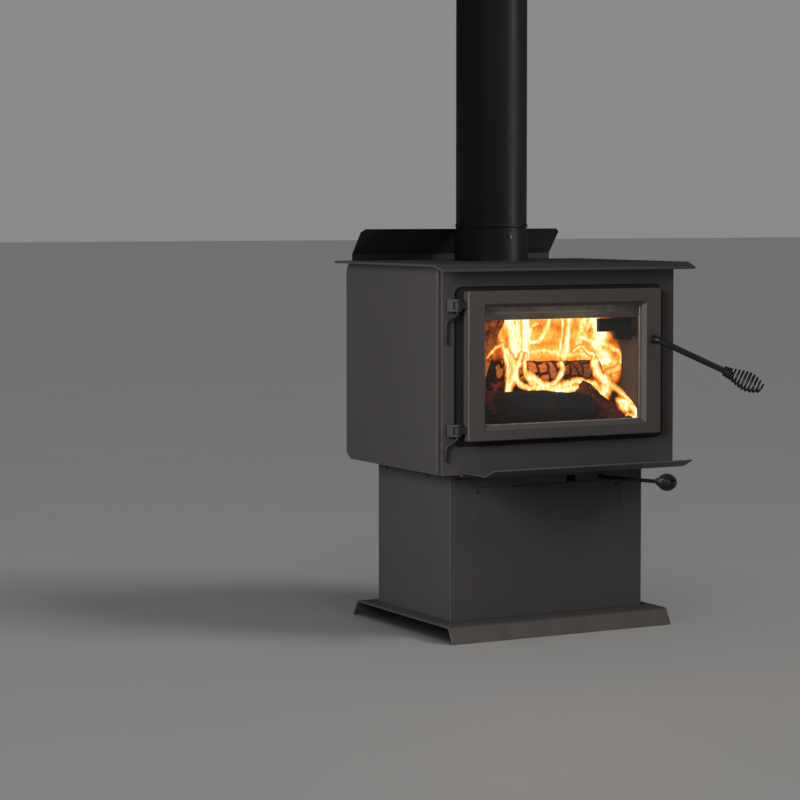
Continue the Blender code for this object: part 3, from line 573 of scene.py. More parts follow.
def flameMaterial(name, stops, strength, density):
    # the painted heat and cover of the sheet, stirred by drawn-out licks and fine veins
    material, tree, shader, where = newMaterial(name)
    heat = attribute(tree, "fireHeat")
    cover = attribute(tree, "fireCover")
    licks = clouds(tree, stretched(tree, where, (62.0, 30.0, 24.0)), 1.0, 3.0, 0.55, 1.4)
    veins = clouds(tree, stretched(tree, where, (170.0, 60.0, 58.0)), 1.0, 3.0, 0.55, 2.4)
    stirred = calc(tree, "MULTIPLY", heat, spread(tree, licks, 0.30, 0.66, 0.66, 1.16))
    warmth = calc(tree, "MULTIPLY", stirred, spread(tree, veins, 0.34, 0.60, 0.80, 1.12), clamp=True)
    shader.inputs["Base Color"].default_value = (0.0, 0.0, 0.0, 1.0)
    shader.inputs["Roughness"].default_value = 1.0
    shader.inputs["Specular IOR Level"].default_value = 0.0
    feed(tree, shader.inputs["Emission Color"], ramp(tree, warmth, stops))
    shader.inputs["Emission Strength"].default_value = strength
    thin = calc(tree, "MULTIPLY", cover, spread(tree, licks, 0.30, 0.62, 0.55, 1.25))
    feed(tree, shader.inputs["Alpha"], spread(tree, thin, 0.16, 0.62, 0.0, density, True))
    return material


flameStops = [(0.0, (0.20, 0.015, 0.0)), (0.25, (0.62, 0.10, 0.006)), (0.45, (1.0, 0.30, 0.025)),
              (0.64, (1.0, 0.56, 0.09)), (0.82, (1.0, 0.84, 0.32)), (1.0, (1.0, 0.98, 0.74))]

finishes = {name: paintMaterial(name, look) for name, look in paintLooks.items()}
finishes["bare_steel"] = steelMaterial("bare_steel", (0.46, 0.45, 0.43), 0.42, 0.35)
finishes["black_screw"] = screwMaterial()
finishes["gasket_rope"] = ropeMaterial()
finishes["firebrick"] = brickMaterial("firebrick", (0.088, 0.042, 0.026), (0.046, 0.022, 0.015), 0.86)
finishes["baffle_board"] = brickMaterial("baffle_board", (0.30, 0.26, 0.22), (0.16, 0.13, 0.10), 0.70)
finishes["clear_glass"] = glassMaterial()
for emberName, emberLook in emberLooks.items():
    finishes[emberName] = emberMaterial(emberName, emberLook)
finishes["flame_glow"] = flameMaterial("flame_glow", flameStops, 1.25, 0.96)
print("finishes mixed:", len(finishes))


# Making and fixing pieces


def fixPiece(name, mesh, finish, body, standsFor=()):
    mesh.materials.clear()
    mesh.materials.append(finishes[finish])
    piece = bpy.data.objects.new(name, mesh)
    bpy.context.scene.collection.objects.link(piece)
    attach(piece, body)
    if standsFor:
        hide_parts(*standsFor)
    return piece


def meshFrom(bm, name):
    mesh = bpy.data.meshes.new(name)
    bm.to_mesh(mesh)
    bm.free()
    return mesh


def withModifiers(mesh, modifiers):
    # modifiers: (kind, settings) pairs, worked into a plain mesh
    holder = bpy.data.objects.new("holder", mesh)
    bpy.context.scene.collection.objects.link(holder)
    for kind, settings in modifiers:
        modifier = holder.modifiers.new(kind.lower(), kind)
        for key, value in settings.items():
            setattr(modifier, key, value)
    graph = bpy.context.evaluated_depsgraph_get()
    made = bpy.data.meshes.new_from_object(holder.evaluated_get(graph))
    bpy.data.objects.remove(holder)
    return made


def meltedCopy(node):
    bm = bmesh.new()
    bm.from_mesh(frame["nodes"][node].data)
    bmesh.ops.remove_doubles(bm, verts=bm.verts[:], dist=0.00002)
    bmesh.ops.dissolve_limit(bm, angle_limit=math.radians(1.0), verts=bm.verts[:], edges=bm.edges[:])
    bm.normal_update()
    return bm


def reachOf(face, edge):
    return face.calc_area() / edge.calc_length()


def formedSheet(node, thickness, bendRadius, rimWidth):
    # folds get their bending radius, and cut edges a small round with a mark for the rubbed coat and its
    # painted edge highlight
    bm = meltedCopy(node)
    band = bm.faces.layers.float.new("edgeBand")
    folds = {}
    for edge in bm.edges:
        if len(edge.link_faces) != 2 or edge.calc_length() < 0.03:
            continue
        angle = edge.calc_face_angle(0.0)
        if angle > math.radians(8) and min(reachOf(face,
                                                   edge) for face in edge.link_faces) > 2.2 * thickness:
            folds.setdefault(round(angle, 1), []).append(edge)
    for angle in sorted(folds):
        edges = [edge for edge in folds[angle] if edge.is_valid]
        offset = bendRadius * math.tan(angle / 2)
        if bendRadius and edges:
            bmesh.ops.bevel(bm, geom=edges, offset=offset, segments=4, profile=0.5, affect="EDGES",
                            clamp_overlap=True)
    rims = [
        edge for edge in bm.edges
        if len(edge.link_faces) == 2 and edge.calc_face_angle(0.0) > math.radians(28)
    ]
    rounded = bmesh.ops.bevel(bm, geom=rims, offset=rimWidth, segments=2, profile=0.5, affect="EDGES",
                              clamp_overlap=True)
    for face in rounded["faces"]:
        face[band] = 1.0
    bmesh.ops.remove_doubles(bm, verts=bm.verts[:], dist=0.000005)
    mesh = meshFrom(bm, node)
    mesh.shade_smooth()
    mesh.set_sharp_from_angle(angle=math.radians(50))
    return withModifiers(mesh, [("WEIGHTED_NORMAL", {"weight": 60, "keep_sharp": True})])


sheetLooks = {
    # node: thickness, bending radius, rim rounding, finish
    "top_plate": (0.005, 0.012, 0.0011, "charcoal_paint"),
    "front_plate": (0.006, 0.0, 0.0009, "charcoal_paint"),
    "side_panel_left": (0.0015, 0.0030, 0.0004, "charcoal_paint"),
    "side_panel_right": (0.0015, 0.0030, 0.0004, "charcoal_paint"),
    "rear_panel": (0.0015, 0.0, 0.0004, "charcoal_paint"),
    "rear_heat_shield": (0.0015, 0.0040, 0.0004, "charcoal_paint"),
    "shield_bracket_left": (0.001, 0.0015, 0.0003, "charcoal_paint"),
    "shield_bracket_right": (0.001, 0.0015, 0.0003, "charcoal_paint"),
    "pedestal_shell": (0.0015, 0.0022, 0.0004, "charcoal_paint"),
    "pedestal_front_frame": (0.0015, 0.0, 0.0004, "charcoal_paint"),
    "pedestal_front_panel": (0.0015, 0.0, 0.0005, "charcoal_paint"),
    "base_plate": (0.004, 0.0080, 0.0009, "charcoal_paint"),
    "ash_lip": (0.003, 0.0050, 0.0008, "charcoal_paint"),
    "door_frame": (0.020, 0.0, 0.0010, "door_paint"),
    "firebox_shell": (0.005, 0.0, 0.0010, "dark_paint"),
    "door_land": (0.005, 0.0, 0.0006, "dark_paint"),
    "air_inlet_box": (0.0015, 0.0, 0.0004, "dark_paint"),
    "airwash_deflector": (0.003, 0.0060, 0.0006, "bare_steel"),
    "glass_retainer": (0.002, 0.0, 0.0004, "bare_steel"),
    "air_damper": (0.002, 0.0, 0.0004, "bare_steel"),
    "slot_shutter": (0.0015, 0.0, 0.0003, "charcoal_paint"),
    "latch_keeper": (0.010, 0.0, 0.0008, "bare_steel"),
    "latch_cam": (0.0045, 0.0, 0.0005, "bare_steel"),
    "hinge_bracket_upper": (0.020, 0.0, 0.0007, "dark_paint"),
    "hinge_bracket_lower": (0.020, 0.0, 0.0007, "dark_paint"),
    "hinge_knuckle_upper": (0.020, 0.0, 0.0007, "dark_paint"),
    "hinge_knuckle_lower": (0.020, 0.0, 0.0007, "dark_paint"),
    "door_gasket": (0.020, 0.0, 0.0020, "gasket_rope"),
    "glass_gasket": (0.020, 0.0, 0.0003, "gasket_rope"),
    "door_glass": (0.020, 0.0, 0.0004, "clear_glass"),
}


def buildSheets():
    for node, (thickness, bendRadius, rimWidth, finish) in sheetLooks.items():
        mesh = formedSheet(node, thickness, bendRadius, rimWidth)
        body = frame["nodes"][node]["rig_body"]
        fixPiece("formed_" + node, mesh, finish, body, (node,))


# Turned pieces


def turnedMesh(name, outline, centre, axis, sides=96):
    # outline: closed (radius, along) points, turned about the axis through centre
    bm = bmesh.new()
    turn = Vector((0.0, 0.0, 1.0)).rotation_difference(Vector(axis)).to_matrix()
    rings = []
    for step in range(sides):
        angle = 2 * math.pi * step / sides
        around = Vector((math.cos(angle), math.sin(angle), 0.0))
        rings.append([bm.verts.new(centre + turn @ (around * r + Vector((0.0, 0.0, h)))) for r,
                      h in outline])
    for here, ahead in zip(rings, rings[1:] + rings[:1]):
        for i in range(len(outline)):
            j = (i + 1) % len(outline)
            bm.faces.new((here[i], here[j], ahead[j], ahead[i]))
    bmesh.ops.remove_doubles(bm, verts=bm.verts[:], dist=0.000001)
    bmesh.ops.recalc_face_normals(bm, faces=bm.faces[:])
    mesh = meshFrom(bm, name)
    mesh.shade_smooth()
    mesh.set_sharp_from_angle(angle=math.radians(40))
    return mesh


def roundCorner(centre, radius, start, end, steps=4):
    angles = [math.radians(start + (end - start) * i / steps) for i in range(steps + 1)]
    return [(centre[0] + radius * math.cos(a), centre[1] + radius * math.sin(a)) for a in angles]


flueSettings = {
    "radius": 0.0762, "wall": 0.0014, "bead": 0.842, "beadHalf": 0.0042, "beadRise": 0.0016, "beadSteps": 8,
    "collarTop": 0.831, "collarGap": 0.0003, "collarRim": 0.0782, "rimRound": 0.0008,
    # radius and height above the seat, down the outside of the collar's foot and in under it
    "collarFoot": [(0.0790, 0.0040), (0.0794, 0.0018), (0.0800, 0.0), (0.0730, 0.0), (0.0730, 0.012)],
    "footInside": 0.012, "seamWidth": 0.0085, "seamThickness": 0.0016, "seamProud": 0.0002,
    "seamArris": 0.0006,
    "seamOverBead": 0.008, "seamUnderEnd": 0.004,
}


def buildFlue(settings):
    pipeLow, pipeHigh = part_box("flue_pipe")
    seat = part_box("flue_collar")[0].z
    centre = middleOf("flue_pipe")
    centre.z = 0.0
    radius, wall = settings["radius"], settings["wall"]
    bead = []
    for i in range(settings["beadSteps"] + 1):
        angle = math.pi * i / settings["beadSteps"]
        bead.append((radius + settings["beadRise"] * math.sin(angle),
                     settings["bead"] + settings["beadHalf"] * math.cos(angle)))
    outline = [(radius - wall, pipeHigh.z)] + [(radius, pipeHigh.z)] + bead + [(radius, pipeLow.z),
                                                                               (radius - wall, pipeLow.z)]
    mesh = turnedMesh("flue_pipe", outline, centre, (0.0, 0.0, 1.0), 128)
    fixPiece("smooth_flue_pipe", mesh, "pipe_paint", "stove", ("flue_pipe",))
    inner, rim = radius + settings["collarGap"], settings["rimRound"]
    outline = [(inner, settings["collarTop"])]
    outline += roundCorner((settings["collarRim"], settings["collarTop"] - rim), rim, 90, 0, 3)
    outline += [(across, seat + up) for across, up in settings["collarFoot"]]
    outline += [(inner, seat + settings["footInside"])]
    mesh = turnedMesh("flue_collar", outline, centre, (0.0, 0.0, 1.0), 128)
    fixPiece("smooth_flue_collar", mesh, "pipe_paint", "stove", ("flue_collar",))
    # the lock seam down the back of the pipe
    seam = bmesh.new()
    bmesh.ops.create_cube(seam, size=1.0)
    tall = pipeHigh.z - settings["seamUnderEnd"] - settings["bead"] - settings["seamOverBead"]
    middle = settings["bead"] + settings["seamOverBead"] + tall / 2
    bmesh.ops.scale(seam, vec=(settings["seamWidth"], settings["seamThickness"], tall), verts=seam.verts[:])
    place = centre + Vector((0.0, radius + settings["seamProud"], middle))
    bmesh.ops.translate(seam, vec=place, verts=seam.verts[:])
    bmesh.ops.bevel(seam, geom=seam.edges[:], offset=settings["seamArris"], segments=2, profile=0.5,
                    affect="EDGES")
    fixPiece("flue_pipe_seam", meshFrom(seam, "flue_pipe_seam"), "pipe_paint", "stove")


# Wires and rods, swept along their paths by one Geometry Nodes tree


def buildSweepTree():
    tree = bpy.data.node_groups.new("sweptWire", "GeometryNodeTree")
    tree.interface.new_socket(name="Path", in_out="INPUT", socket_type="NodeSocketGeometry")
    tree.interface.new_socket(name="Wire Radius", in_out="INPUT", socket_type="NodeSocketFloat")
    tree.interface.new_socket(name="Sides", in_out="INPUT", socket_type="NodeSocketInt")
    tree.interface.new_socket(name="Finish", in_out="INPUT", socket_type="NodeSocketMaterial")
    tree.interface.new_socket(name="Wire", in_out="OUTPUT", socket_type="NodeSocketGeometry")
    given = tree.nodes.new("NodeGroupInput").outputs
    made = tree.nodes.new("NodeGroupOutput").inputs
    toCurve = tree.nodes.new("GeometryNodeMeshToCurve")
    taper = tree.nodes.new("GeometryNodeInputNamedAttribute")
    taper.data_type = "FLOAT"
    taper.inputs["Name"].default_value = "taper"
    setRadius = tree.nodes.new("GeometryNodeSetCurveRadius")
    ring = tree.nodes.new("GeometryNodeCurvePrimitiveCircle")
    sweep = tree.nodes.new("GeometryNodeCurveToMesh")
    sweep.inputs["Fill Caps"].default_value = True
    real = tree.nodes.new("GeometryNodeRealizeInstances")
    coat = tree.nodes.new("GeometryNodeSetMaterial")
    link = tree.links.new
    link(given["Path"], toCurve.inputs["Mesh"])
    link(toCurve.outputs["Curve"], setRadius.inputs["Curve"])
    link(taper.outputs["Attribute"], setRadius.inputs["Radius"])
    link(given["Wire Radius"], ring.inputs["Radius"])
    link(given["Sides"], ring.inputs["Resolution"])
    link(setRadius.outputs["Curve"], sweep.inputs["Curve"])
    link(ring.outputs["Curve"], sweep.inputs["Profile Curve"])
    if "Scale" in sweep.inputs:
        link(taper.outputs["Attribute"], sweep.inputs["Scale"])
    link(sweep.outputs["Mesh"], real.inputs["Geometry"])
    link(real.outputs["Geometry"], coat.inputs["Geometry"])
    link(given["Finish"], coat.inputs["Material"])
    link(coat.outputs["Geometry"], made["Wire"])
    return tree


def runTree(tree, source, values):
    # the tree's result as a plain mesh; source is the mesh it works on
    holder = bpy.data.objects.new("holder", source)
    bpy.context.scene.collection.objects.link(holder)
    modifier = holder.modifiers.new("builder", "NODES")
    modifier.node_group = tree
    for item in tree.interface.items_tree:
        if item.in_out == "INPUT" and item.name in values:
            modifier[item.identifier] = values[item.name]
    graph = bpy.context.evaluated_depsgraph_get()
    made = bpy.data.meshes.new_from_object(holder.evaluated_get(graph))
    bpy.data.objects.remove(holder)
    return made


sweepTree = buildSweepTree()


def sweptWire(name, path, radius, finish, sides=16):
    # a round wire with rounded ends; the last points of each end close in by a half circle
    points = [Vector(point) for point in path]
    cap = 4
    ends = []
    for end, inner in ((points[0], points[1]), (points[-1], points[-2])):
        out = (end - inner).normalized()
        base = end - out * radius
        ends.append([(base + out * radius * math.sin(math.pi / 2 * i / cap), math.cos(math.pi / 2 * i / cap))
                     for i in range(cap + 1)])
    middle = [(point, 1.0) for point in points[1:-1]]
    line = ends[0][::-1] + middle + ends[1]
    mesh = bpy.data.meshes.new(name)
    mesh.from_pydata([point for point, size in line], [(i, i + 1) for i in range(len(line) - 1)], [])
    taper = mesh.attributes.new("taper", "FLOAT", "POINT")
    taper.data.foreach_set("value", [max(size, 0.02) for point, size in line])
    made = runTree(sweepTree, mesh, {"Wire Radius": radius, "Sides": sides, "Finish": finishes[finish]})
    bm = bmesh.new()
    bm.from_mesh(made)
    bmesh.ops.remove_doubles(bm, verts=bm.verts[:], dist=0.000002)
    bmesh.ops.recalc_face_normals(bm, faces=bm.faces[:])
    mesh = meshFrom(bm, name)
    mesh.shade_smooth()
    return mesh


def bentPath(corners, radius, steps=10):
    corners = [Vector(corner) for corner in corners]
    path = [corners[0]]
    for before, corner, after in zip(corners, corners[1:], corners[2:]):
        back = (before - corner).normalized()
        ahead = (after - corner).normalized()
        for step in range(steps + 1):
            t = step / steps
            path.append(corner + back * radius * (1 - t) ** 2 + ahead * radius * t ** 2)
    path.append(corners[-1])
    return path


def barrelRadius(share, coil):
    neck, widest, end, full = coil["neck"], coil["widest"], coil["end"], coil["fullAt"]
    if share < full:
        return neck + (widest - neck) * math.sin(math.pi / 2 * share / full) ** 2
    return end + (widest - end) * math.cos(math.pi / 2 * (share - full) / (1 - full)) ** 0.8


def gripPath(start, direction, coil):
    # the first turns are wound close on the rod, and the rest open out evenly
    side = direction.cross(Vector((0.0, 0.0, 1.0))).normalized()
    up = side.cross(direction).normalized()
    stepsPerTurn = 26
    closeLength = coil["closeTurns"] * coil["closePitch"]
    openPitch = (coil["length"] - closeLength) / (coil["turns"] - coil["closeTurns"])
    path = []
    for step in range(int(coil["turns"] * stepsPerTurn) + 1):
        turn = step / stepsPerTurn
        closePart = min(turn, coil["closeTurns"]) * coil["closePitch"]
        along = closePart + max(0.0, turn - coil["closeTurns"]) * openPitch
        radius = barrelRadius(along / coil["length"], coil)
        around = side * math.cos(2 * math.pi * turn) + up * math.sin(2 * math.pi * turn)
        path.append(start + direction * along + around * radius)
    return path


handleSettings = {
    "hub": (0.2115, 0.6066), "elbowOut": 0.0125, "toward": (192.0, -110.0, -103.0), "rodRadius": 0.00635,
    "rodLength": 0.155, "inCoil": 0.022, "bend": 0.009,
    "coil": {"wire": 0.0021, "neck": 0.00885, "widest": 0.0193, "end": 0.0060, "fullAt": 0.62, "turns": 12.5,
             "closeTurns": 3.5, "closePitch": 0.0046, "length": 0.089},
}

airSettings = {
    "x": 0.1295, "z": 0.3155, "inner": 0.1990, "bendAt": 0.0300, "coilStart": (-0.1640, 0.3245),
    "rise": 0.06,
    "rodRadius": 0.0040, "inCoil": 0.014, "bend": 0.020,
    "coil": {"wire": 0.0017, "neck": 0.0061, "widest": 0.0160, "end": 0.0045, "fullAt": 0.58, "turns": 14.0,
             "closeTurns": 7.0, "closePitch": 0.0041, "length": 0.058},
}

hingeSettings = {"x": -0.2515, "y": -0.0122, "height": 0.025, "tailX": -0.2750, "tailY": -0.0068,
                 "radius": 0.0031, "bottoms": {"upper": 0.672, "lower": 0.420},
                 "tails": {"upper": 0.046, "lower": 0.030}}


def buildHandle(settings):
    x, z = settings["hub"]
    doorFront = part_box("door_frame")[0].y - faceY
    direction = Vector(settings["toward"]).normalized()
    elbow = spot(x, doorFront - settings["elbowOut"], z)
    gripStart = elbow + direction * settings["rodLength"]
    path = bentPath([spot(x, -0.0052, z), elbow, gripStart + direction * settings["inCoil"]],
                    settings["bend"])
    mesh = sweptWire("handle_rod", path, settings["rodRadius"], "handle_black", 28)
    fixPiece("smooth_handle_rod", mesh, "handle_black", "door_handle", ("handle_rod",))
    coil = settings["coil"]
    mesh = sweptWire("handle_coil", gripPath(gripStart, direction, coil), coil["wire"], "handle_black", 14)
    fixPiece("spring_handle_coil", mesh, "handle_black", "door_handle", ("handle_coil",))
    outline = [(0.0067, 0.0040)] + roundCorner((0.0082, 0.0022), 0.0018, 90, 0, 4) + [
        (0.0100, 0.0), (0.0087, 0.0), (0.0087, -0.0190), (0.0067, -0.0190)]
    centre = spot(x, doorFront - 0.0003, z)
    mesh = turnedMesh("handle_bush", outline, centre, (0.0, -1.0, 0.0), 48)
    fixPiece("smooth_handle_bush", mesh, "dark_paint", "door", ("handle_bush",))


def buildAirControl(settings):
    x, z = settings["x"], settings["z"]
    direction = Vector((0.0, -1.0, settings["rise"])).normalized()
    coilStart = spot(x, *settings["coilStart"])
    corners = [spot(x, settings["inner"], z), spot(x, settings["bendAt"], z),
               coilStart + direction * settings["inCoil"]]
    mesh = sweptWire("air_rod", bentPath(corners, settings["bend"]), settings["rodRadius"], "handle_black",
                     22)
    fixPiece("smooth_air_rod", mesh, "handle_black", "air_control", ("air_control_rod",))
    coil = settings["coil"]
    mesh = sweptWire("air_coil", gripPath(coilStart, direction, coil), coil["wire"], "handle_black", 14)
    fixPiece("spring_air_coil", mesh, "handle_black", "air_control", ("air_control_coil",))


def buildHingePins(settings):
    x, y = settings["x"], settings["y"]
    for place, bottom in settings["bottoms"].items():
        top = bottom + settings["height"]
        aside = spot(settings["tailX"], settings["tailY"], bottom - 0.0205)
        corners = [spot(x, y, top + 0.0015), spot(x, y, bottom - 0.006), aside,
                   aside - Vector((0.0, 0.0, settings["tails"][place]))]
        mesh = sweptWire("hinge_pin", bentPath(corners, 0.006), settings["radius"], "dark_paint", 18)
        fixPiece("smooth_hinge_pin_" + place, mesh, "dark_paint", "stove",
                 ("hinge_pin_" + place,))


# Screws, set out by a second Geometry Nodes tree


def buildScrewTree():
    tree = bpy.data.node_groups.new("screwRow", "GeometryNodeTree")
    tree.interface.new_socket(name="Places", in_out="INPUT", socket_type="NodeSocketGeometry")
    tree.interface.new_socket(name="Head", in_out="INPUT", socket_type="NodeSocketObject")
    tree.interface.new_socket(name="Size", in_out="INPUT", socket_type="NodeSocketFloat")
    tree.interface.new_socket(name="Turn Seed", in_out="INPUT", socket_type="NodeSocketInt")
    tree.interface.new_socket(name="Finish", in_out="INPUT", socket_type="NodeSocketMaterial")
    tree.interface.new_socket(name="Screws", in_out="OUTPUT", socket_type="NodeSocketGeometry")
    given = tree.nodes.new("NodeGroupInput").outputs
    made = tree.nodes.new("NodeGroupOutput").inputs
    facing = tree.nodes.new("GeometryNodeInputNamedAttribute")
    facing.data_type = "FLOAT_VECTOR"
    facing.inputs["Name"].default_value = "facing"
    align = tree.nodes.new("FunctionNodeAlignRotationToVector")
    align.axis = "Z"
    angle = tree.nodes.new("FunctionNodeRandomValue")
    angle.data_type = "FLOAT"
    angle.inputs[2].default_value = 0.0
    angle.inputs[3].default_value = math.pi
    spinAxis = tree.nodes.new("FunctionNodeAxisAngleToRotation")
    spinAxis.inputs["Axis"].default_value = (0.0, 0.0, 1.0)
    turn = tree.nodes.new("FunctionNodeRotateRotation")
    turn.rotation_space = "LOCAL"
    head = tree.nodes.new("GeometryNodeObjectInfo")
    toPoints = tree.nodes.new("GeometryNodeMeshToPoints")
    place = tree.nodes.new("GeometryNodeInstanceOnPoints")
    real = tree.nodes.new("GeometryNodeRealizeInstances")
    coat = tree.nodes.new("GeometryNodeSetMaterial")
    link = tree.links.new
    link(given["Places"], toPoints.inputs["Mesh"])
    link(given["Head"], head.inputs["Object"])
    link(facing.outputs["Attribute"], align.inputs["Vector"])
    link(given["Turn Seed"], angle.inputs["Seed"])
    link(angle.outputs[1], spinAxis.inputs["Angle"])
    link(align.outputs["Rotation"], turn.inputs["Rotation"])
    link(spinAxis.outputs["Rotation"], turn.inputs["Rotate By"])
    link(toPoints.outputs["Points"], place.inputs["Points"])
    link(head.outputs["Geometry"], place.inputs["Instance"])
    link(turn.outputs["Rotation"], place.inputs["Rotation"])
    link(given["Size"], place.inputs["Scale"])
    link(place.outputs["Instances"], real.inputs["Geometry"])
    link(real.outputs["Geometry"], coat.inputs["Geometry"])
    link(given["Finish"], coat.inputs["Material"])
    link(coat.outputs["Geometry"], made["Screws"])
    return tree


def panHead():
    # a pan head of 1 metre radius at Z 0, with a cross recess; scaled when it is placed
    bm = bmesh.new()
    sides, rings = 48, 14
    band = bm.faces.layers.float.new("edgeBand")
    rows = []
    for ring in range(1, rings + 1):
        r = ring / rings
        row = []
        for side in range(sides):
            angle = 2 * math.pi * side / sides
            x, y = r * math.cos(angle), r * math.sin(angle)
            z = 0.58 * math.sqrt(max(0.0, 1.0 - r ** 3.2)) + 0.06
            inCross = (abs(x) < 0.11 and abs(y) < 0.52) or (abs(y) < 0.11 and abs(x) < 0.52)
            if inCross:
                z -= 0.34 * (1 - 0.6 * r)
            row.append(bm.verts.new((x, y, z)))
        rows.append(row)
    rows.append([bm.verts.new((v.co.x, v.co.y, 0.0)) for v in rows[-1]])
    centre = bm.verts.new((0.0, 0.0, 0.30))
    for i in range(sides):
        j = (i + 1) % sides
        bm.faces.new((centre, rows[0][i], rows[0][j]))
        for inner, outer in zip(rows, rows[1:]):
            face = bm.faces.new((inner[i], outer[i], outer[j], inner[j]))
            low, high = min(v.co.z for v in face.verts), max(v.co.z for v in face.verts)
            face[band] = 1.0 if high - low > 0.12 and high > 0.3 else 0.0
    bm.faces.new(rows[-1][::-1])
    bmesh.ops.recalc_face_normals(bm, faces=bm.faces[:])
    return bm


def hexHead():
    # a hex washer head of 1 metre washer radius at Z 0
    bm = bmesh.new()
    band = bm.faces.layers.float.new("edgeBand")
    bmesh.ops.create_cone(bm, cap_ends=True, segments=36, radius1=1.0, radius2=0.94, depth=0.16,
                          matrix=Matrix.Translation((0.0, 0.0, 0.08)))
    top = max(bm.faces, key=lambda face: face.calc_center_median().z)
    bmesh.ops.inset_region(bm, faces=[top], thickness=0.20)
    ring = list(top.verts)
    for vert in ring:
        angle = math.atan2(vert.co.y, vert.co.x)
        sector = (angle + math.pi) % (math.pi / 3) - math.pi / 6
        reach = 0.64 / math.cos(sector)
        vert.co.x, vert.co.y = reach * math.cos(angle), reach * math.sin(angle)
    pushed = bmesh.ops.extrude_face_region(bm, geom=[top])
    verts = [item for item in pushed["geom"] if isinstance(item, bmesh.types.BMVert)]
    bmesh.ops.translate(bm, vec=(0.0, 0.0, 0.52), verts=verts)
    for vert in verts:
        vert.co.z += 0.05 * (1.0 - Vector((vert.co.x, vert.co.y)).length)
    bmesh.ops.delete(bm, geom=[face for face in [top] if face.is_valid], context="FACES_ONLY")
    bmesh.ops.recalc_face_normals(bm, faces=bm.faces[:])
    for face in bm.faces:
        face[band] = 1.0 if face.calc_center_median().z > 0.6 else 0.0
    return bm


def placedScrews(name, tree, headMesh, places, size, seed, finish, stands=()):
    head = bpy.data.objects.new("screwHead", headMesh)
    bpy.context.scene.collection.objects.link(head)
    mesh = bpy.data.meshes.new(name)
    mesh.from_pydata([place for place, facing in places], [], [])
    facings = mesh.attributes.new("facing", "FLOAT_VECTOR", "POINT")
    facings.data.foreach_set("vector",
                             [part for place, facing in places for part in Vector(facing).normalized()])
    made = runTree(tree, mesh, {"Head": head, "Size": size, "Turn Seed": seed, "Finish": finishes[finish]})
    bpy.data.objects.remove(head)
    made.shade_smooth()
    made.set_sharp_from_angle(angle=math.radians(35))
    fixPiece(name, made, finish, "stove", stands)


screwSettings = {
    "headerHeight": 0.327, "headerAcross": (-0.2110, -0.0885, -0.0248, 0.2111),
    "sideHeight": 0.326, "sideAlong": (0.1425, 0.2750, 0.3220), "panSize": 0.0040,
    "footHeight": 0.048, "collarRadius": 0.0790, "collarHeight": 0.819, "hexSize": 0.0046,
    "casingHeights": (0.372, 0.549, 0.728), "casingAcross": 0.262,
}


def buildScrews(settings):
    tree = buildScrewTree()
    panMesh = meshFrom(panHead(), "panHead")
    hexMesh = meshFrom(hexHead(), "hexHead")
    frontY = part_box("pedestal_front_panel")[0].y - faceY
    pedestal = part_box("pedestal_shell")
    places = []
    for side in ("left", "right"):
        at = middleOf("panel_screw_" + side)
        places.append((Vector((at.x, faceY + frontY - 0.0001, at.z)), (0, -1, 0)))
    for x in settings["headerAcross"]:
        places.append((spot(x, frontY - 0.0001, settings["headerHeight"]), (0, -1, 0)))
    for y in settings["sideAlong"][::2]:
        at = spot(0.0, y, settings["sideHeight"])
        places.append((Vector((pedestal[0].x - 0.0001, at.y, at.z)), (-1, 0, 0)))
        places.append((Vector((pedestal[1].x + 0.0001, at.y, at.z)), (1, 0, 0)))
    for x in (-0.15, 0.15):
        at = spot(x, 0.0, settings["sideHeight"])
        places.append((Vector((at.x, pedestal[1].y + 0.0001, at.z)), (0, 1, 0)))
    placedScrews("pedestal_screws", tree, panMesh, places, settings["panSize"], 3, "black_screw",
                 ("panel_screw_left", "panel_screw_right"))
    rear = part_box("rear_panel")[1].y
    places = [(Vector((spot(sign * settings["casingAcross"], 0, 0).x, rear + 0.0001, z)), (0, 1, 0))
              for sign in (-1, 1) for z in settings["casingHeights"]]
    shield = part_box("rear_heat_shield")[1].y
    places += [(Vector((spot(sign * 0.204, 0, 0).x, shield + 0.0001, z)), (0, 1, 0))
               for sign in (-1, 1) for z in (0.445, 0.685)]
    placedScrews("casing_screws", tree, panMesh, places, settings["panSize"], 5, "black_screw")
    centre = middleOf("flue_pipe")
    places = []
    for degrees in (-90, 150, 30):
        out = Vector((math.cos(math.radians(degrees)), math.sin(math.radians(degrees)), 0.0))
        at = Vector((centre.x, centre.y,
                     settings["collarHeight"])) + out * (settings["collarRadius"] - 0.0002)
        places.append((at, out))
    placedScrews("collar_screws", tree, hexMesh, places, settings["hexSize"], 7, "black_screw",
                 ("collar_screw_front", "collar_screw_left", "collar_screw_right"))


# Firebricks and boards, with chipped arrises and a rough face

brickSettings = {"grid": 0.013, "arris": 0.0020, "roughness": 0.00045, "chip": 0.0011}


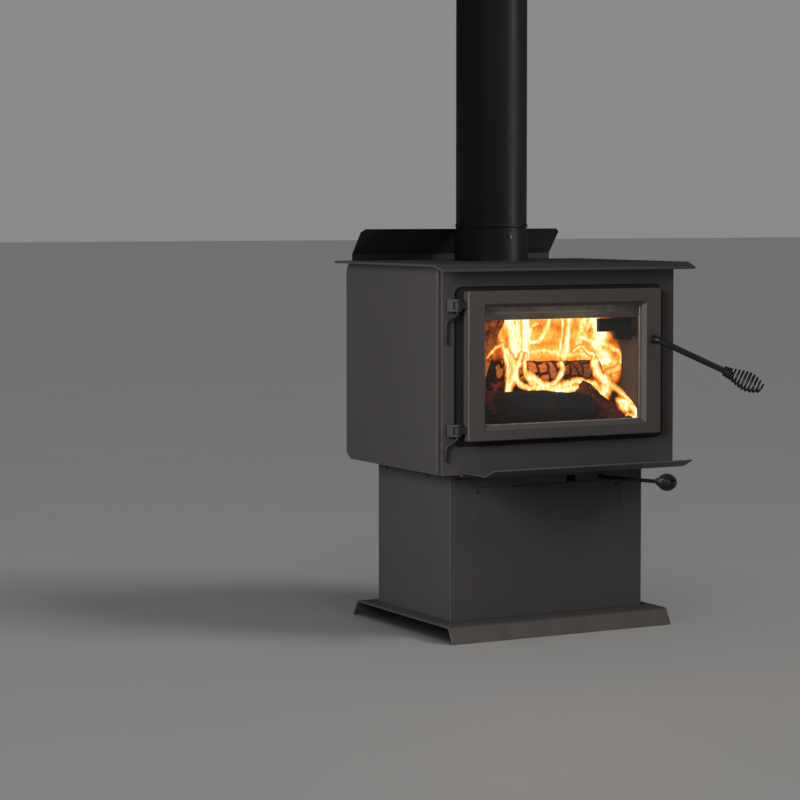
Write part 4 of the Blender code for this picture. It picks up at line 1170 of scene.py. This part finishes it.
def roughBlock(node, settings, seed):
    low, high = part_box(node)
    size = high - low
    cuts = [max(2, round(length / settings["grid"])) for length in size]
    bm = bmesh.new()
    seen = {}

    def vertAt(i, j, k):
        key = (i, j, k)
        if key not in seen:
            seen[key] = bm.verts.new([low[n] + size[n] * key[n] / cuts[n] for n in range(3)])
        return seen[key]

    for axis in range(3):
        a, b = [n for n in range(3) if n != axis]
        for level in (0, cuts[axis]):
            for i in range(cuts[a]):
                for j in range(cuts[b]):
                    corners = []
                    for di, dj in ((0, 0), (1, 0), (1, 1), (0, 1)):
                        key = [0, 0, 0]
                        key[axis], key[a], key[b] = level, i + di, j + dj
                        corners.append(vertAt(*key))
                    bm.faces.new(corners)
    bmesh.ops.recalc_face_normals(bm, faces=bm.faces[:])
    arrises = [edge for edge in bm.edges if edge.calc_face_angle(0.0) > 0.5]
    bmesh.ops.bevel(bm, geom=arrises, offset=settings["arris"], segments=3, profile=0.5, affect="EDGES",
                    clamp_overlap=True)
    bm.normal_update()
    middle = (low + high) / 2
    for vert in bm.verts:
        at = vert.co * 38 + Vector((seed * 7.3, 0.0, 0.0))
        rough = abs(noise.noise(at)) + 0.6 * abs(noise.noise(vert.co * 120))
        toEdge = sorted((min(vert.co[n] - low[n], high[n] - vert.co[n]) for n in range(3)))[1]
        chip = max(0.0, noise.noise(vert.co * 55 + Vector((0.0, seed * 3.1,
                                                           0.0)))) if toEdge < 0.004 else 0.0
        inward = (middle - vert.co).normalized()
        vert.co -= vert.normal * (settings["roughness"] * rough + settings["chip"] * chip)
        vert.co += inward * 0.00005
    mesh = meshFrom(bm, node)
    mesh.shade_smooth()
    mesh.set_sharp_from_angle(angle=math.radians(60))
    return mesh


def buildBricks(settings):
    nodes = sorted(name for name in frame["nodes"] if "_brick_" in name)
    for seed, node in enumerate(nodes):
        mesh = roughBlock(node, settings, seed)
        fixPiece("rough_" + node, mesh, "firebrick", "stove", (node,))
    for seed, node in enumerate(("baffle_board_left", "baffle_board_right")):
        mesh = roughBlock(node, {**settings, "chip": 0.0006, "roughness": 0.0003}, seed + 40)
        fixPiece("rough_" + node, mesh, "baffle_board", "stove", (node,))


tubeSettings = {"radius": 0.0127, "bore": 0.0110}


def buildAirTubes(settings):
    for place in ("front", "middle", "rear"):
        node = "air_tube_" + place
        low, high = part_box(node)
        centre = (low + high) / 2
        half = (high.x - low.x) / 2
        outline = [(settings["bore"], half), (settings["radius"], half), (settings["radius"], -half),
                   (settings["bore"], -half)]
        mesh = turnedMesh(node, outline, centre, (1.0, 0.0, 0.0), 36)
        fixPiece("smooth_" + node, mesh, "bare_steel", "stove", (node,))


# The bracket that holds up the right end of the front air tube

hangerSettings = {
    "near": 0.088, "far": 0.098, "arris": 0.0010,
    "outline": [(0.150, 0.618), (0.190, 0.618), (0.191, 0.606), (0.196, 0.600), (0.2315, 0.600),
                (0.2315, 0.646),
                (0.150, 0.646)],
}


def buildHanger(settings):
    bm = bmesh.new()
    front = [bm.verts.new(spot(x, settings["near"], z)) for x, z in settings["outline"]]
    rear = [bm.verts.new(spot(x, settings["far"], z)) for x, z in settings["outline"]]
    bm.faces.new(front)
    bm.faces.new(rear[::-1])
    for i in range(len(front)):
        j = (i + 1) % len(front)
        bm.faces.new((front[i], rear[i], rear[j], front[j]))
    bmesh.ops.recalc_face_normals(bm, faces=bm.faces[:])
    bmesh.ops.bevel(bm, geom=bm.edges[:], offset=settings["arris"], segments=2, profile=0.5, affect="EDGES")
    fixPiece("air_tube_hanger", meshFrom(bm, "hanger"), "dark_paint", "stove")


# The fire: logs, embers and flames inside the log space

logSettings = [
    # name, start, end, radius, flat sides, finish, and how the fire dies down along it: from where, over
    # how far and by how much
    ("log_front", (-0.205, 0.092, 0.462), (0.128, 0.086, 0.452), 0.036, 0.25, "charred_log",
     (0.08, 0.34, 1.0)),
    ("log_glowing", (-0.035, 0.188, 0.538), (0.196, 0.160, 0.531), 0.026, 0.35, "glowing_log",
     (0.35, 0.55, 0.92)),
    ("log_leaning", (-0.132, 0.190, 0.430), (-0.088, 0.118, 0.660), 0.024, 0.55, "split_wood",
     (0.35, 0.55, 0.3)),
    ("log_right", (0.118, 0.120, 0.496), (0.214, 0.078, 0.420), 0.026, 0.30, "red_log", (0.35, 0.55, 0.3)),
    ("log_rear", (-0.185, 0.262, 0.470), (0.190, 0.270, 0.462), 0.046, 0.30, "charred_log",
     (0.35, 0.55, 0.3)),
    ("log_under", (-0.060, 0.150, 0.425), (0.195, 0.205, 0.450), 0.034, 0.30, "red_log", (0.35, 0.55, 0.3)),
]


def logMesh(name, start, end, radius, flatness, seed):
    # a split log: two flatter faces, ridged bark, knots and ragged ends
    start, end = spot(*start), spot(*end)
    along = end - start
    length = along.length
    along.normalize()
    side = along.cross(Vector((0.0, 0.0, 1.0)))
    side = side.normalized() if side.length > 0.1 else Vector((1.0, 0.0, 0.0))
    up = side.cross(along).normalized()
    rows, sides = max(24, int(length / 0.0035)), 64
    bm = bmesh.new()
    rings = []
    for row in range(rows + 1):
        t = row / rows
        here = start + along * length * t
        sag = Vector((0.0, 0.0, 0.006 * math.sin(math.pi * t) * (1 if seed % 2 else -1)))
        ring = []
        for k in range(sides):
            angle = 2 * math.pi * k / sides
            out = side * math.cos(angle) + up * math.sin(angle)
            at = here + out * radius
            split = 1.0 - flatness * 0.28 * max(0.0, math.cos(angle * 1.0 + seed)) ** 2
            ridges = abs(noise.noise(Vector((t * length * 26, math.cos(angle) * 7,
                                             math.sin(angle) * 7 + seed * 5))))
            lumps = noise.noise(at * 24 + Vector((seed * 9.0, 0.0, 0.0)))
            fine = noise.noise(at * 130)
            shrink = 1.0
            close = min(t, 1 - t) * length
            if close < 0.010:
                shrink = 0.80 + 0.20 * math.sqrt(max(0.0, close / 0.010))
            r = radius * split * shrink * (1 + 0.16 * lumps + 0.05 * fine - 0.13 * ridges)
            ragged = 0.006 * noise.noise(Vector((math.cos(angle) * 5, math.sin(angle) * 5,
                                                 seed * 3.0 + round(t))))
            shift = along * ragged if close < 0.012 else Vector()
            ring.append(bm.verts.new(here + sag + out * r + shift))
        rings.append(ring)
    for here, ahead in zip(rings, rings[1:]):
        for k in range(sides):
            j = (k + 1) % sides
            bm.faces.new((here[k], here[j], ahead[j], ahead[k]))
    for ring, out in ((rings[0], -1), (rings[-1], 1)):
        inner = ring
        for share in (0.75, 0.5, 0.25):
            centre = sum((vert.co for vert in ring), Vector()) / sides
            nextRing = []
            for k, vert in enumerate(ring):
                at = centre.lerp(vert.co, share)
                dent = 0.0035 * noise.noise(at * 110) + 0.002 * math.sin(share * 40)
                nextRing.append(bm.verts.new(at + along * out * dent))
            for k in range(sides):
                j = (k + 1) % sides
                bm.faces.new((inner[k], inner[j], nextRing[j], nextRing[k]))
            inner = nextRing
        hub = bm.verts.new(sum((vert.co for vert in inner), Vector()) / sides)
        for k in range(sides):
            bm.faces.new((inner[k], inner[(k + 1) % sides], hub))
    bmesh.ops.recalc_face_normals(bm, faces=bm.faces[:])
    mesh = meshFrom(bm, name)
    mesh.shade_smooth()
    return mesh


def markAlight(mesh, start, end, dying):
    # burning at the start and dying down towards the end
    begin, over, share = dying
    low, high = spot(*start), spot(*end)
    line = high - low
    alight = mesh.attributes.new("alight", "FLOAT", "POINT")
    for vert, item in zip(mesh.vertices, alight.data):
        along = (vert.co - low).dot(line) / line.length_squared
        item.value = 1.0 - share * eased((along - begin) / over)


def buildLogs(settings):
    for seed, (name, start, end, radius, flatness, finish, dying) in enumerate(settings):
        mesh = logMesh(name, start, end, radius, flatness, seed + 1)
        markAlight(mesh, start, end, dying)
        fixPiece(name, mesh, finish, "stove")


bedSettings = {"low": (-0.228, 0.036), "high": (0.228, 0.355), "floor": 0.3788, "depth": 0.026,
               "cell": 0.0045,
               "coals": 420, "coalSize": 0.0088, "seed": 11, "dying": (0.20, 0.60, 0.35)}


def buildCoalTree():
    tree = bpy.data.node_groups.new("coalScatter", "GeometryNodeTree")
    tree.interface.new_socket(name="Bed", in_out="INPUT", socket_type="NodeSocketGeometry")
    tree.interface.new_socket(name="Coal", in_out="INPUT", socket_type="NodeSocketObject")
    tree.interface.new_socket(name="Smallest", in_out="INPUT", socket_type="NodeSocketFloat")
    tree.interface.new_socket(name="Largest", in_out="INPUT", socket_type="NodeSocketFloat")
    tree.interface.new_socket(name="Density", in_out="INPUT", socket_type="NodeSocketFloat")
    tree.interface.new_socket(name="Seed", in_out="INPUT", socket_type="NodeSocketInt")
    tree.interface.new_socket(name="Finish", in_out="INPUT", socket_type="NodeSocketMaterial")
    tree.interface.new_socket(name="Coals", in_out="OUTPUT", socket_type="NodeSocketGeometry")
    given = tree.nodes.new("NodeGroupInput").outputs
    made = tree.nodes.new("NodeGroupOutput").inputs
    scatter = tree.nodes.new("GeometryNodeDistributePointsOnFaces")
    coal = tree.nodes.new("GeometryNodeObjectInfo")
    size = tree.nodes.new("FunctionNodeRandomValue")
    size.data_type = "FLOAT"
    tumble = tree.nodes.new("FunctionNodeRandomValue")
    tumble.data_type = "FLOAT_VECTOR"
    tumble.inputs[1].default_value = (6.28, 6.28, 6.28)
    place = tree.nodes.new("GeometryNodeInstanceOnPoints")
    real = tree.nodes.new("GeometryNodeRealizeInstances")
    coat = tree.nodes.new("GeometryNodeSetMaterial")
    link = tree.links.new
    link(given["Bed"], scatter.inputs["Mesh"])
    link(given["Density"], scatter.inputs["Density"])
    link(given["Seed"], scatter.inputs["Seed"])
    link(given["Coal"], coal.inputs["Object"])
    link(given["Smallest"], size.inputs[2])
    link(given["Largest"], size.inputs[3])
    link(given["Seed"], size.inputs["Seed"])
    link(given["Seed"], tumble.inputs["Seed"])
    link(scatter.outputs["Points"], place.inputs["Points"])
    link(coal.outputs["Geometry"], place.inputs["Instance"])
    link(size.outputs[1], place.inputs["Scale"])
    link(tumble.outputs[0], place.inputs["Rotation"])
    link(place.outputs["Instances"], real.inputs["Geometry"])
    link(real.outputs["Geometry"], coat.inputs["Geometry"])
    link(given["Finish"], coat.inputs["Material"])
    link(coat.outputs["Geometry"], made["Coals"])
    return tree


def coalLump():
    bm = bmesh.new()
    bmesh.ops.create_icosphere(bm, subdivisions=2, radius=1.0)
    for vert in bm.verts:
        blocky = max(abs(part) for part in vert.co.normalized())
        vert.co *= (0.80 / blocky) ** 0.55 * (1 + 0.16 * noise.noise(vert.co * 1.9))
        vert.co.x *= 1.35
    return meshFrom(bm, "coalLump")


def bedHeight(x, y, settings):
    # a mound under the logs, deeper to the left where the coals have rolled forward
    mound = 0.55 + 0.45 * math.cos(min(1.0, abs(y - 0.17) / 0.2) * math.pi / 2)
    left = 0.30 * math.exp(-((x + 0.12) / 0.06) ** 2)
    lumps = 0.30 * noise.noise(Vector((x * 34, y * 34, 1.3))) + 0.16 * noise.noise(Vector((x * 90, y * 90,
                                                                                           4.1)))
    return settings["depth"] * max(0.25, mound + left + lumps)


def buildEmbers(settings):
    lowX, lowY = settings["low"]
    highX, highY = settings["high"]
    across = int((highX - lowX) / settings["cell"])
    deep = int((highY - lowY) / settings["cell"])
    bm = bmesh.new()
    top, bottom = {}, {}
    for i in range(across + 1):
        for j in range(deep + 1):
            x = lowX + (highX - lowX) * i / across
            y = lowY + (highY - lowY) * j / deep
            edge = min(i, across - i, j, deep - j) / 4
            height = bedHeight(x, y, settings) * min(1.0, 0.25 + 0.75 * edge)
            top[i, j] = bm.verts.new(spot(x, y, settings["floor"] + height))
            if i in (0, across) or j in (0, deep):
                bottom[i, j] = bm.verts.new(spot(x, y, settings["floor"]))
    surface = []
    for i in range(across):
        for j in range(deep):
            surface.append(bm.faces.new((top[i, j], top[i + 1, j], top[i + 1, j + 1], top[i, j + 1])))
    border = [(i, 0) for i in range(across)] + [(across, j) for j in range(deep)]
    border += [(i, deep) for i in range(across, 0, -1)] + [(0, j) for j in range(deep, 0, -1)]
    for here, ahead in zip(border, border[1:] + border[:1]):
        bm.faces.new((bottom[here], bottom[ahead], top[ahead], top[here]))
    bm.faces.new([bottom[key] for key in border][::-1])
    bmesh.ops.recalc_face_normals(bm, faces=bm.faces[:])
    mesh = meshFrom(bm, "ember_bed")
    mesh.shade_smooth()
    ends = (lowX, 0.0, 0.0), (highX, 0.0, 0.0)
    markAlight(mesh, *ends, settings["dying"])
    bed = fixPiece("ember_bed", mesh, "ember_bed", "stove")
    coal = bpy.data.objects.new("coalLump", coalLump())
    bpy.context.scene.collection.objects.link(coal)
    upper = bmesh.new()
    upper.from_mesh(bed.data)
    inside = [face for face in upper.faces if face.normal.z < 0.5]
    bmesh.ops.delete(upper, geom=inside, context="FACES")
    area = (highX - lowX) * (highY - lowY)
    values = {"Coal": coal, "Smallest": settings["coalSize"] * 0.45, "Largest": settings["coalSize"],
              "Density": settings["coals"] / area, "Seed": settings["seed"], "Finish": finishes["ember_bed"]}
    made = runTree(buildCoalTree(), meshFrom(upper, "bedTop"), values)
    bpy.data.objects.remove(coal)
    made.shade_smooth()
    made.set_sharp_from_angle(angle=math.radians(38))
    markAlight(made, *ends, settings["dying"])
    fixPiece("ember_coals", made, "ember_bed", "stove")


def curveThrough(points, t):
    # a smooth curve through the points
    count = len(points) - 1
    place = min(t * count, count - 1e-6)
    i = int(place)
    u = place - i
    a = points[max(0, i - 1)]
    b, c = points[i], points[i + 1]
    d = points[min(count, i + 2)]
    return 0.5 * (2 * b + (c - a) * u + (2 * a - 5 * b + 4 * c - d) * u * u
                  + (3 * b - a - 3 * c + d) * u ** 3)


# Each sheet of flame is a curved closed leaf across the firebox. Its strokes are half width, heat and the
# (across, up) points that they pass through
flameSheets = {
    "flames_rear": {
        "seed": 7,
        "across": (-0.090, 0.2292), "up": (0.484, 0.676), "cell": 0.0021, "thick": 0.0030, "wave": 0.009,
        "fullness": 1.10,
        "deep": 0.205, "bendAcross": (0.160, 0.060), "bendUp": None, "forward": 0.080,
        "strokes": [
            (0.0116, 0.50, [(-0.065, 0.631), (-0.048, 0.625), (-0.023, 0.627), (-0.003, 0.624)]),
            (0.0088, 0.42, [(-0.056, 0.615), (-0.052, 0.590), (-0.044, 0.576)]),
            (0.0075, 0.62, [(-0.028, 0.636), (-0.023, 0.611), (-0.011, 0.585)]),
            (0.0218, 0.62, [(-0.011, 0.649), (0.051, 0.652), (0.114, 0.650), (0.150, 0.649),
              (0.166, 0.644)]),
            (0.0170, 0.58, [(0.001, 0.610), (0.064, 0.605), (0.127, 0.603), (0.160, 0.604),
              (0.176, 0.600)]),
            (0.0177, 0.62, [(0.006, 0.581), (0.064, 0.573), (0.127, 0.571), (0.170, 0.574),
              (0.192, 0.571)]),
            (0.0136, 0.58, [(0.010, 0.553), (0.030, 0.549), (0.047, 0.541)]),
            (0.0170, 0.66, [(0.181, 0.553), (0.196, 0.546), (0.211, 0.547)]),
            (0.0122, 0.60, [(0.181, 0.524), (0.196, 0.521), (0.208, 0.522)]),
            (0.0105, 1.14, [(-0.005, 0.671), (0.001, 0.642), (0.010, 0.610), (0.010, 0.581),
              (0.003, 0.557)]),
            (0.0088, 1.14, [(0.041, 0.670), (0.039, 0.641), (0.042, 0.609), (0.039, 0.577),
              (0.031, 0.549)]),
            (0.0082, 0.95, [(0.020, 0.670), (0.020, 0.638), (0.021, 0.609), (0.020, 0.577)]),
            (0.0044, 1.00, [(0.106, 0.668), (0.097, 0.640), (0.093, 0.618), (0.079, 0.601),
              (0.058, 0.592), (0.047, 0.605), (0.051, 0.619)]),
            (0.0027, 0.90, [(0.064, 0.633), (0.060, 0.628), (0.072, 0.630)]),
            (0.0031, 0.95, [(0.133, 0.668), (0.130, 0.639), (0.129, 0.607), (0.128, 0.571)]),
            (0.0065, 1.08, [(0.144, 0.668), (0.148, 0.639), (0.147, 0.606), (0.143, 0.581),
              (0.139, 0.560)]),
            (0.0041, 1.00, [(0.181, 0.668), (0.176, 0.639), (0.171, 0.610), (0.170, 0.574)]),
            (0.0027, 0.92, [(0.183, 0.635), (0.177, 0.610), (0.181, 0.596), (0.190, 0.586)]),
            (0.0061, 1.10, [(0.183, 0.668), (0.190, 0.638), (0.195, 0.620), (0.196, 0.602),
              (0.192, 0.586)]),
            (0.0051, 1.10, [(0.172, 0.597), (0.185, 0.592), (0.194, 0.579), (0.203, 0.567),
              (0.204, 0.551), (0.195, 0.548), (0.192, 0.561)]),
            (0.0031, 0.86, [(0.198, 0.597), (0.210, 0.578), (0.221, 0.574), (0.227, 0.558),
              (0.226, 0.538), (0.214, 0.526), (0.207, 0.510)]),
            (0.0044, 0.86, [(0.051, 0.571), (0.093, 0.574), (0.136, 0.563), (0.172, 0.565),
              (0.185, 0.556)]),
        ],
    },
    "flames_front": {
        "seed": 7,
        "across": (-0.112, 0.2292), "up": (0.426, 0.604), "cell": 0.0021, "thick": 0.0024, "wave": 0.003,
        "fullness": 1.30,
        "deep": 0.122, "bendAcross": (0.120, 0.060), "bendUp": (0.505, 0.060), "forward": 0.062,
        "strokes": [
            (0.0020, 0.80, [(-0.105, 0.571), (-0.085, 0.588), (-0.068, 0.596)]),
            (0.0031, 1.00, [(-0.068, 0.595), (-0.060, 0.573), (-0.054, 0.549), (-0.055, 0.521),
              (-0.058, 0.491)]),
            (0.0044, 0.92, [(-0.054, 0.580), (-0.043, 0.555), (-0.043, 0.527), (-0.053, 0.500)]),
            (0.0031, 1.02, [(-0.025, 0.572), (-0.034, 0.548), (-0.034, 0.524), (-0.020, 0.509),
              (0.001, 0.501), (0.012, 0.506), (0.003, 0.514)]),
            (0.0041, 0.95, [(-0.030, 0.555), (-0.040, 0.538), (-0.038, 0.520)]),
            (0.0027, 0.95, [(-0.011, 0.572), (-0.015, 0.544), (-0.003, 0.523), (0.021, 0.513),
              (0.050, 0.507), (0.070, 0.517), (0.079, 0.538), (0.074, 0.554)]),
            (0.0048, 1.02, [(-0.005, 0.530), (0.017, 0.517), (0.042, 0.502), (0.071, 0.495),
              (0.109, 0.496), (0.135, 0.489)]),
            (0.0048, 0.90, [(0.013, 0.503), (0.050, 0.499), (0.092, 0.495), (0.125, 0.494)]),
            (0.0041, 0.86, [(0.071, 0.502), (0.100, 0.509), (0.125, 0.512), (0.144, 0.507)]),
            (0.0031, 0.95, [(0.109, 0.576), (0.125, 0.586), (0.142, 0.575), (0.157, 0.564),
              (0.155, 0.549), (0.163, 0.539)]),
            (0.0058, 1.00, [(0.163, 0.549), (0.168, 0.535), (0.176, 0.520), (0.195, 0.505),
              (0.182, 0.492), (0.162, 0.479)]),
            (0.0034, 0.86, [(0.146, 0.503), (0.163, 0.506), (0.169, 0.492), (0.162, 0.479)]),
            (0.0051, 0.84, [(0.189, 0.520), (0.201, 0.503), (0.216, 0.493), (0.222, 0.481),
              (0.220, 0.470)]),
            (0.0041, 0.74, [(0.197, 0.530), (0.210, 0.533), (0.221, 0.540)]),
            (0.0041, 0.90, [(0.197, 0.466), (0.221, 0.469), (0.245, 0.466), (0.257, 0.463)]),
            (0.0054, 1.00, [(0.199, 0.457), (0.219, 0.458), (0.227, 0.448), (0.243, 0.442)]),
            (0.0034, 0.84, [(0.205, 0.440), (0.220, 0.437), (0.243, 0.438)]),
        ],
    },
}


def eased(value):
    value = min(1.0, max(0.0, value))
    return value * value * (3 - 2 * value)


def sheetDepth(x, z, sheet):
    start, over = sheet["bendAcross"]
    bend = eased((x - start) / over)
    if sheet["bendUp"]:
        top, drop = sheet["bendUp"]
        bend *= eased((top - z) / drop)
    wave = sheet["wave"] * noise.noise(Vector((x * 13, z * 9, sheet["deep"] * 50)))
    return sheet["deep"] - sheet["forward"] * bend + wave


def strokePoints(points):
    path = [Vector((x, z, 0.0)) for x, z in points]
    steps = 14 * (len(path) - 1)
    return np.array([curveThrough(path, step / steps)[:2] for step in range(steps + 1)])


def paintedHeat(places, strokes, fullness):
    # how hot each place is, and how much flame covers it
    heat = np.zeros(len(places))
    bare = np.ones(len(places))
    for half, hot, points in strokes:
        half *= fullness
        line = strokePoints(points)
        gap = np.sqrt(((places[:, None, :] - line[None, :, :]) ** 2).sum(axis=2).min(axis=1))
        heat = np.maximum(heat, hot * np.exp(-0.42 * (gap / half) ** 2))
        bare *= 1 - np.minimum(1.0, 1.25 * np.exp(-0.50 * (gap / half) ** 2))
    return heat, 1 - bare


def flameLeaf(name, sheet):
    noise.seed_set(sheet["seed"])
    lowX, highX = sheet["across"]
    lowZ, highZ = sheet["up"]
    columns = int((highX - lowX) / sheet["cell"])
    rows = int((highZ - lowZ) / sheet["cell"])
    grid = [(lowX + (highX - lowX) * i / columns, lowZ + (highZ - lowZ) * j / rows)
            for j in range(rows + 1) for i in range(columns + 1)]
    stirred = []
    for x, z in grid:
        sway = noise.noise_vector(Vector((x * 45, z * 26, sheet["deep"] * 40))) * 0.0050
        curl = noise.noise_vector(Vector((x * 130, z * 80, sheet["deep"] * 90))) * 0.0018
        stirred.append((x + sway.x + curl.x, z + sway.z + curl.z))
    heat, cover = paintedHeat(np.array(stirred), sheet["strokes"], sheet["fullness"])
    bm = bmesh.new()
    heatLayer = bm.verts.layers.float.new("fireHeat")
    coverLayer = bm.verts.layers.float.new("fireCover")
    used = {}

    def vertAt(index, front):
        if (index, front) not in used:
            x, z = grid[index]
            half = sheet["thick"] / 2 * min(1.0, 0.2 + cover[index])
            vert = bm.verts.new(spot(x, sheetDepth(x, z, sheet) + (-half if front else half), z))
            vert[heatLayer], vert[coverLayer] = heat[index], cover[index]
            used[index, front] = vert
        return used[index, front]

    wide = columns + 1
    rims = {}
    for j in range(rows):
        for i in range(columns):
            corners = (j * wide + i, j * wide + i + 1, (j + 1) * wide + i + 1, (j + 1) * wide + i)
            if max(cover[k] for k in corners) < 0.05:
                continue
            bm.faces.new([vertAt(k, True) for k in corners])
            bm.faces.new([vertAt(k, False) for k in corners[::-1]])
            for a, b in zip(corners, corners[1:] + corners[:1]):
                if (b, a) in rims:
                    del rims[b, a]
                else:
                    rims[a, b] = True
    for a, b in rims:
        bm.faces.new((vertAt(b, True), vertAt(a, True), vertAt(a, False), vertAt(b, False)))
    bmesh.ops.recalc_face_normals(bm, faces=bm.faces[:])
    mesh = meshFrom(bm, name)
    mesh.shade_smooth()
    return mesh


def buildFlames(sheets):
    for name, sheet in sheets.items():
        fixPiece(name, flameLeaf(name, sheet), "flame_glow", "stove")


fireLampSettings = {"watts": 0.32, "colour": (1.0, 0.50, 0.20), "size": 0.06, "place": (0.06, 0.150, 0.60)}


def buildFireLamp(settings):
    data = bpy.data.lights.new("fireLamp", "POINT")
    data.energy, data.color, data.shadow_soft_size = settings["watts"], settings["colour"], settings["size"]
    lamp = bpy.data.objects.new("fireLamp", data)
    bpy.context.scene.collection.objects.link(lamp)
    lamp.location = spot(*settings["place"])
    lamp.visible_camera = lamp.visible_glossy = lamp.visible_transmission = False


buildCamera(viewSettings)
studioFloor = buildStudio(studioSettings)
print("camera and studio set")
buildSheets()
print("sheet metal, door and hinges formed")
buildFlue(flueSettings)
buildHandle(handleSettings)
buildAirControl(airSettings)
buildHingePins(hingeSettings)
print("flue, rods, coils and pins turned")
buildScrews(screwSettings)
buildBricks(brickSettings)
buildAirTubes(tubeSettings)
buildHanger(hangerSettings)
print("screws, bricks and tubes in place")
buildLogs(logSettings)
buildEmbers(bedSettings)
buildFlames(flameSheets)
buildFireLamp(fireLampSettings)
flue = [bpy.data.objects[name] for name in ("smooth_flue_pipe", "smooth_flue_collar", "collar_screws",
                                            "flue_pipe_seam",
                                          "formed_rear_heat_shield")]
flagLamps(studioSettings, {"floor": [studioFloor], "flue": flue})
print("fire laid")
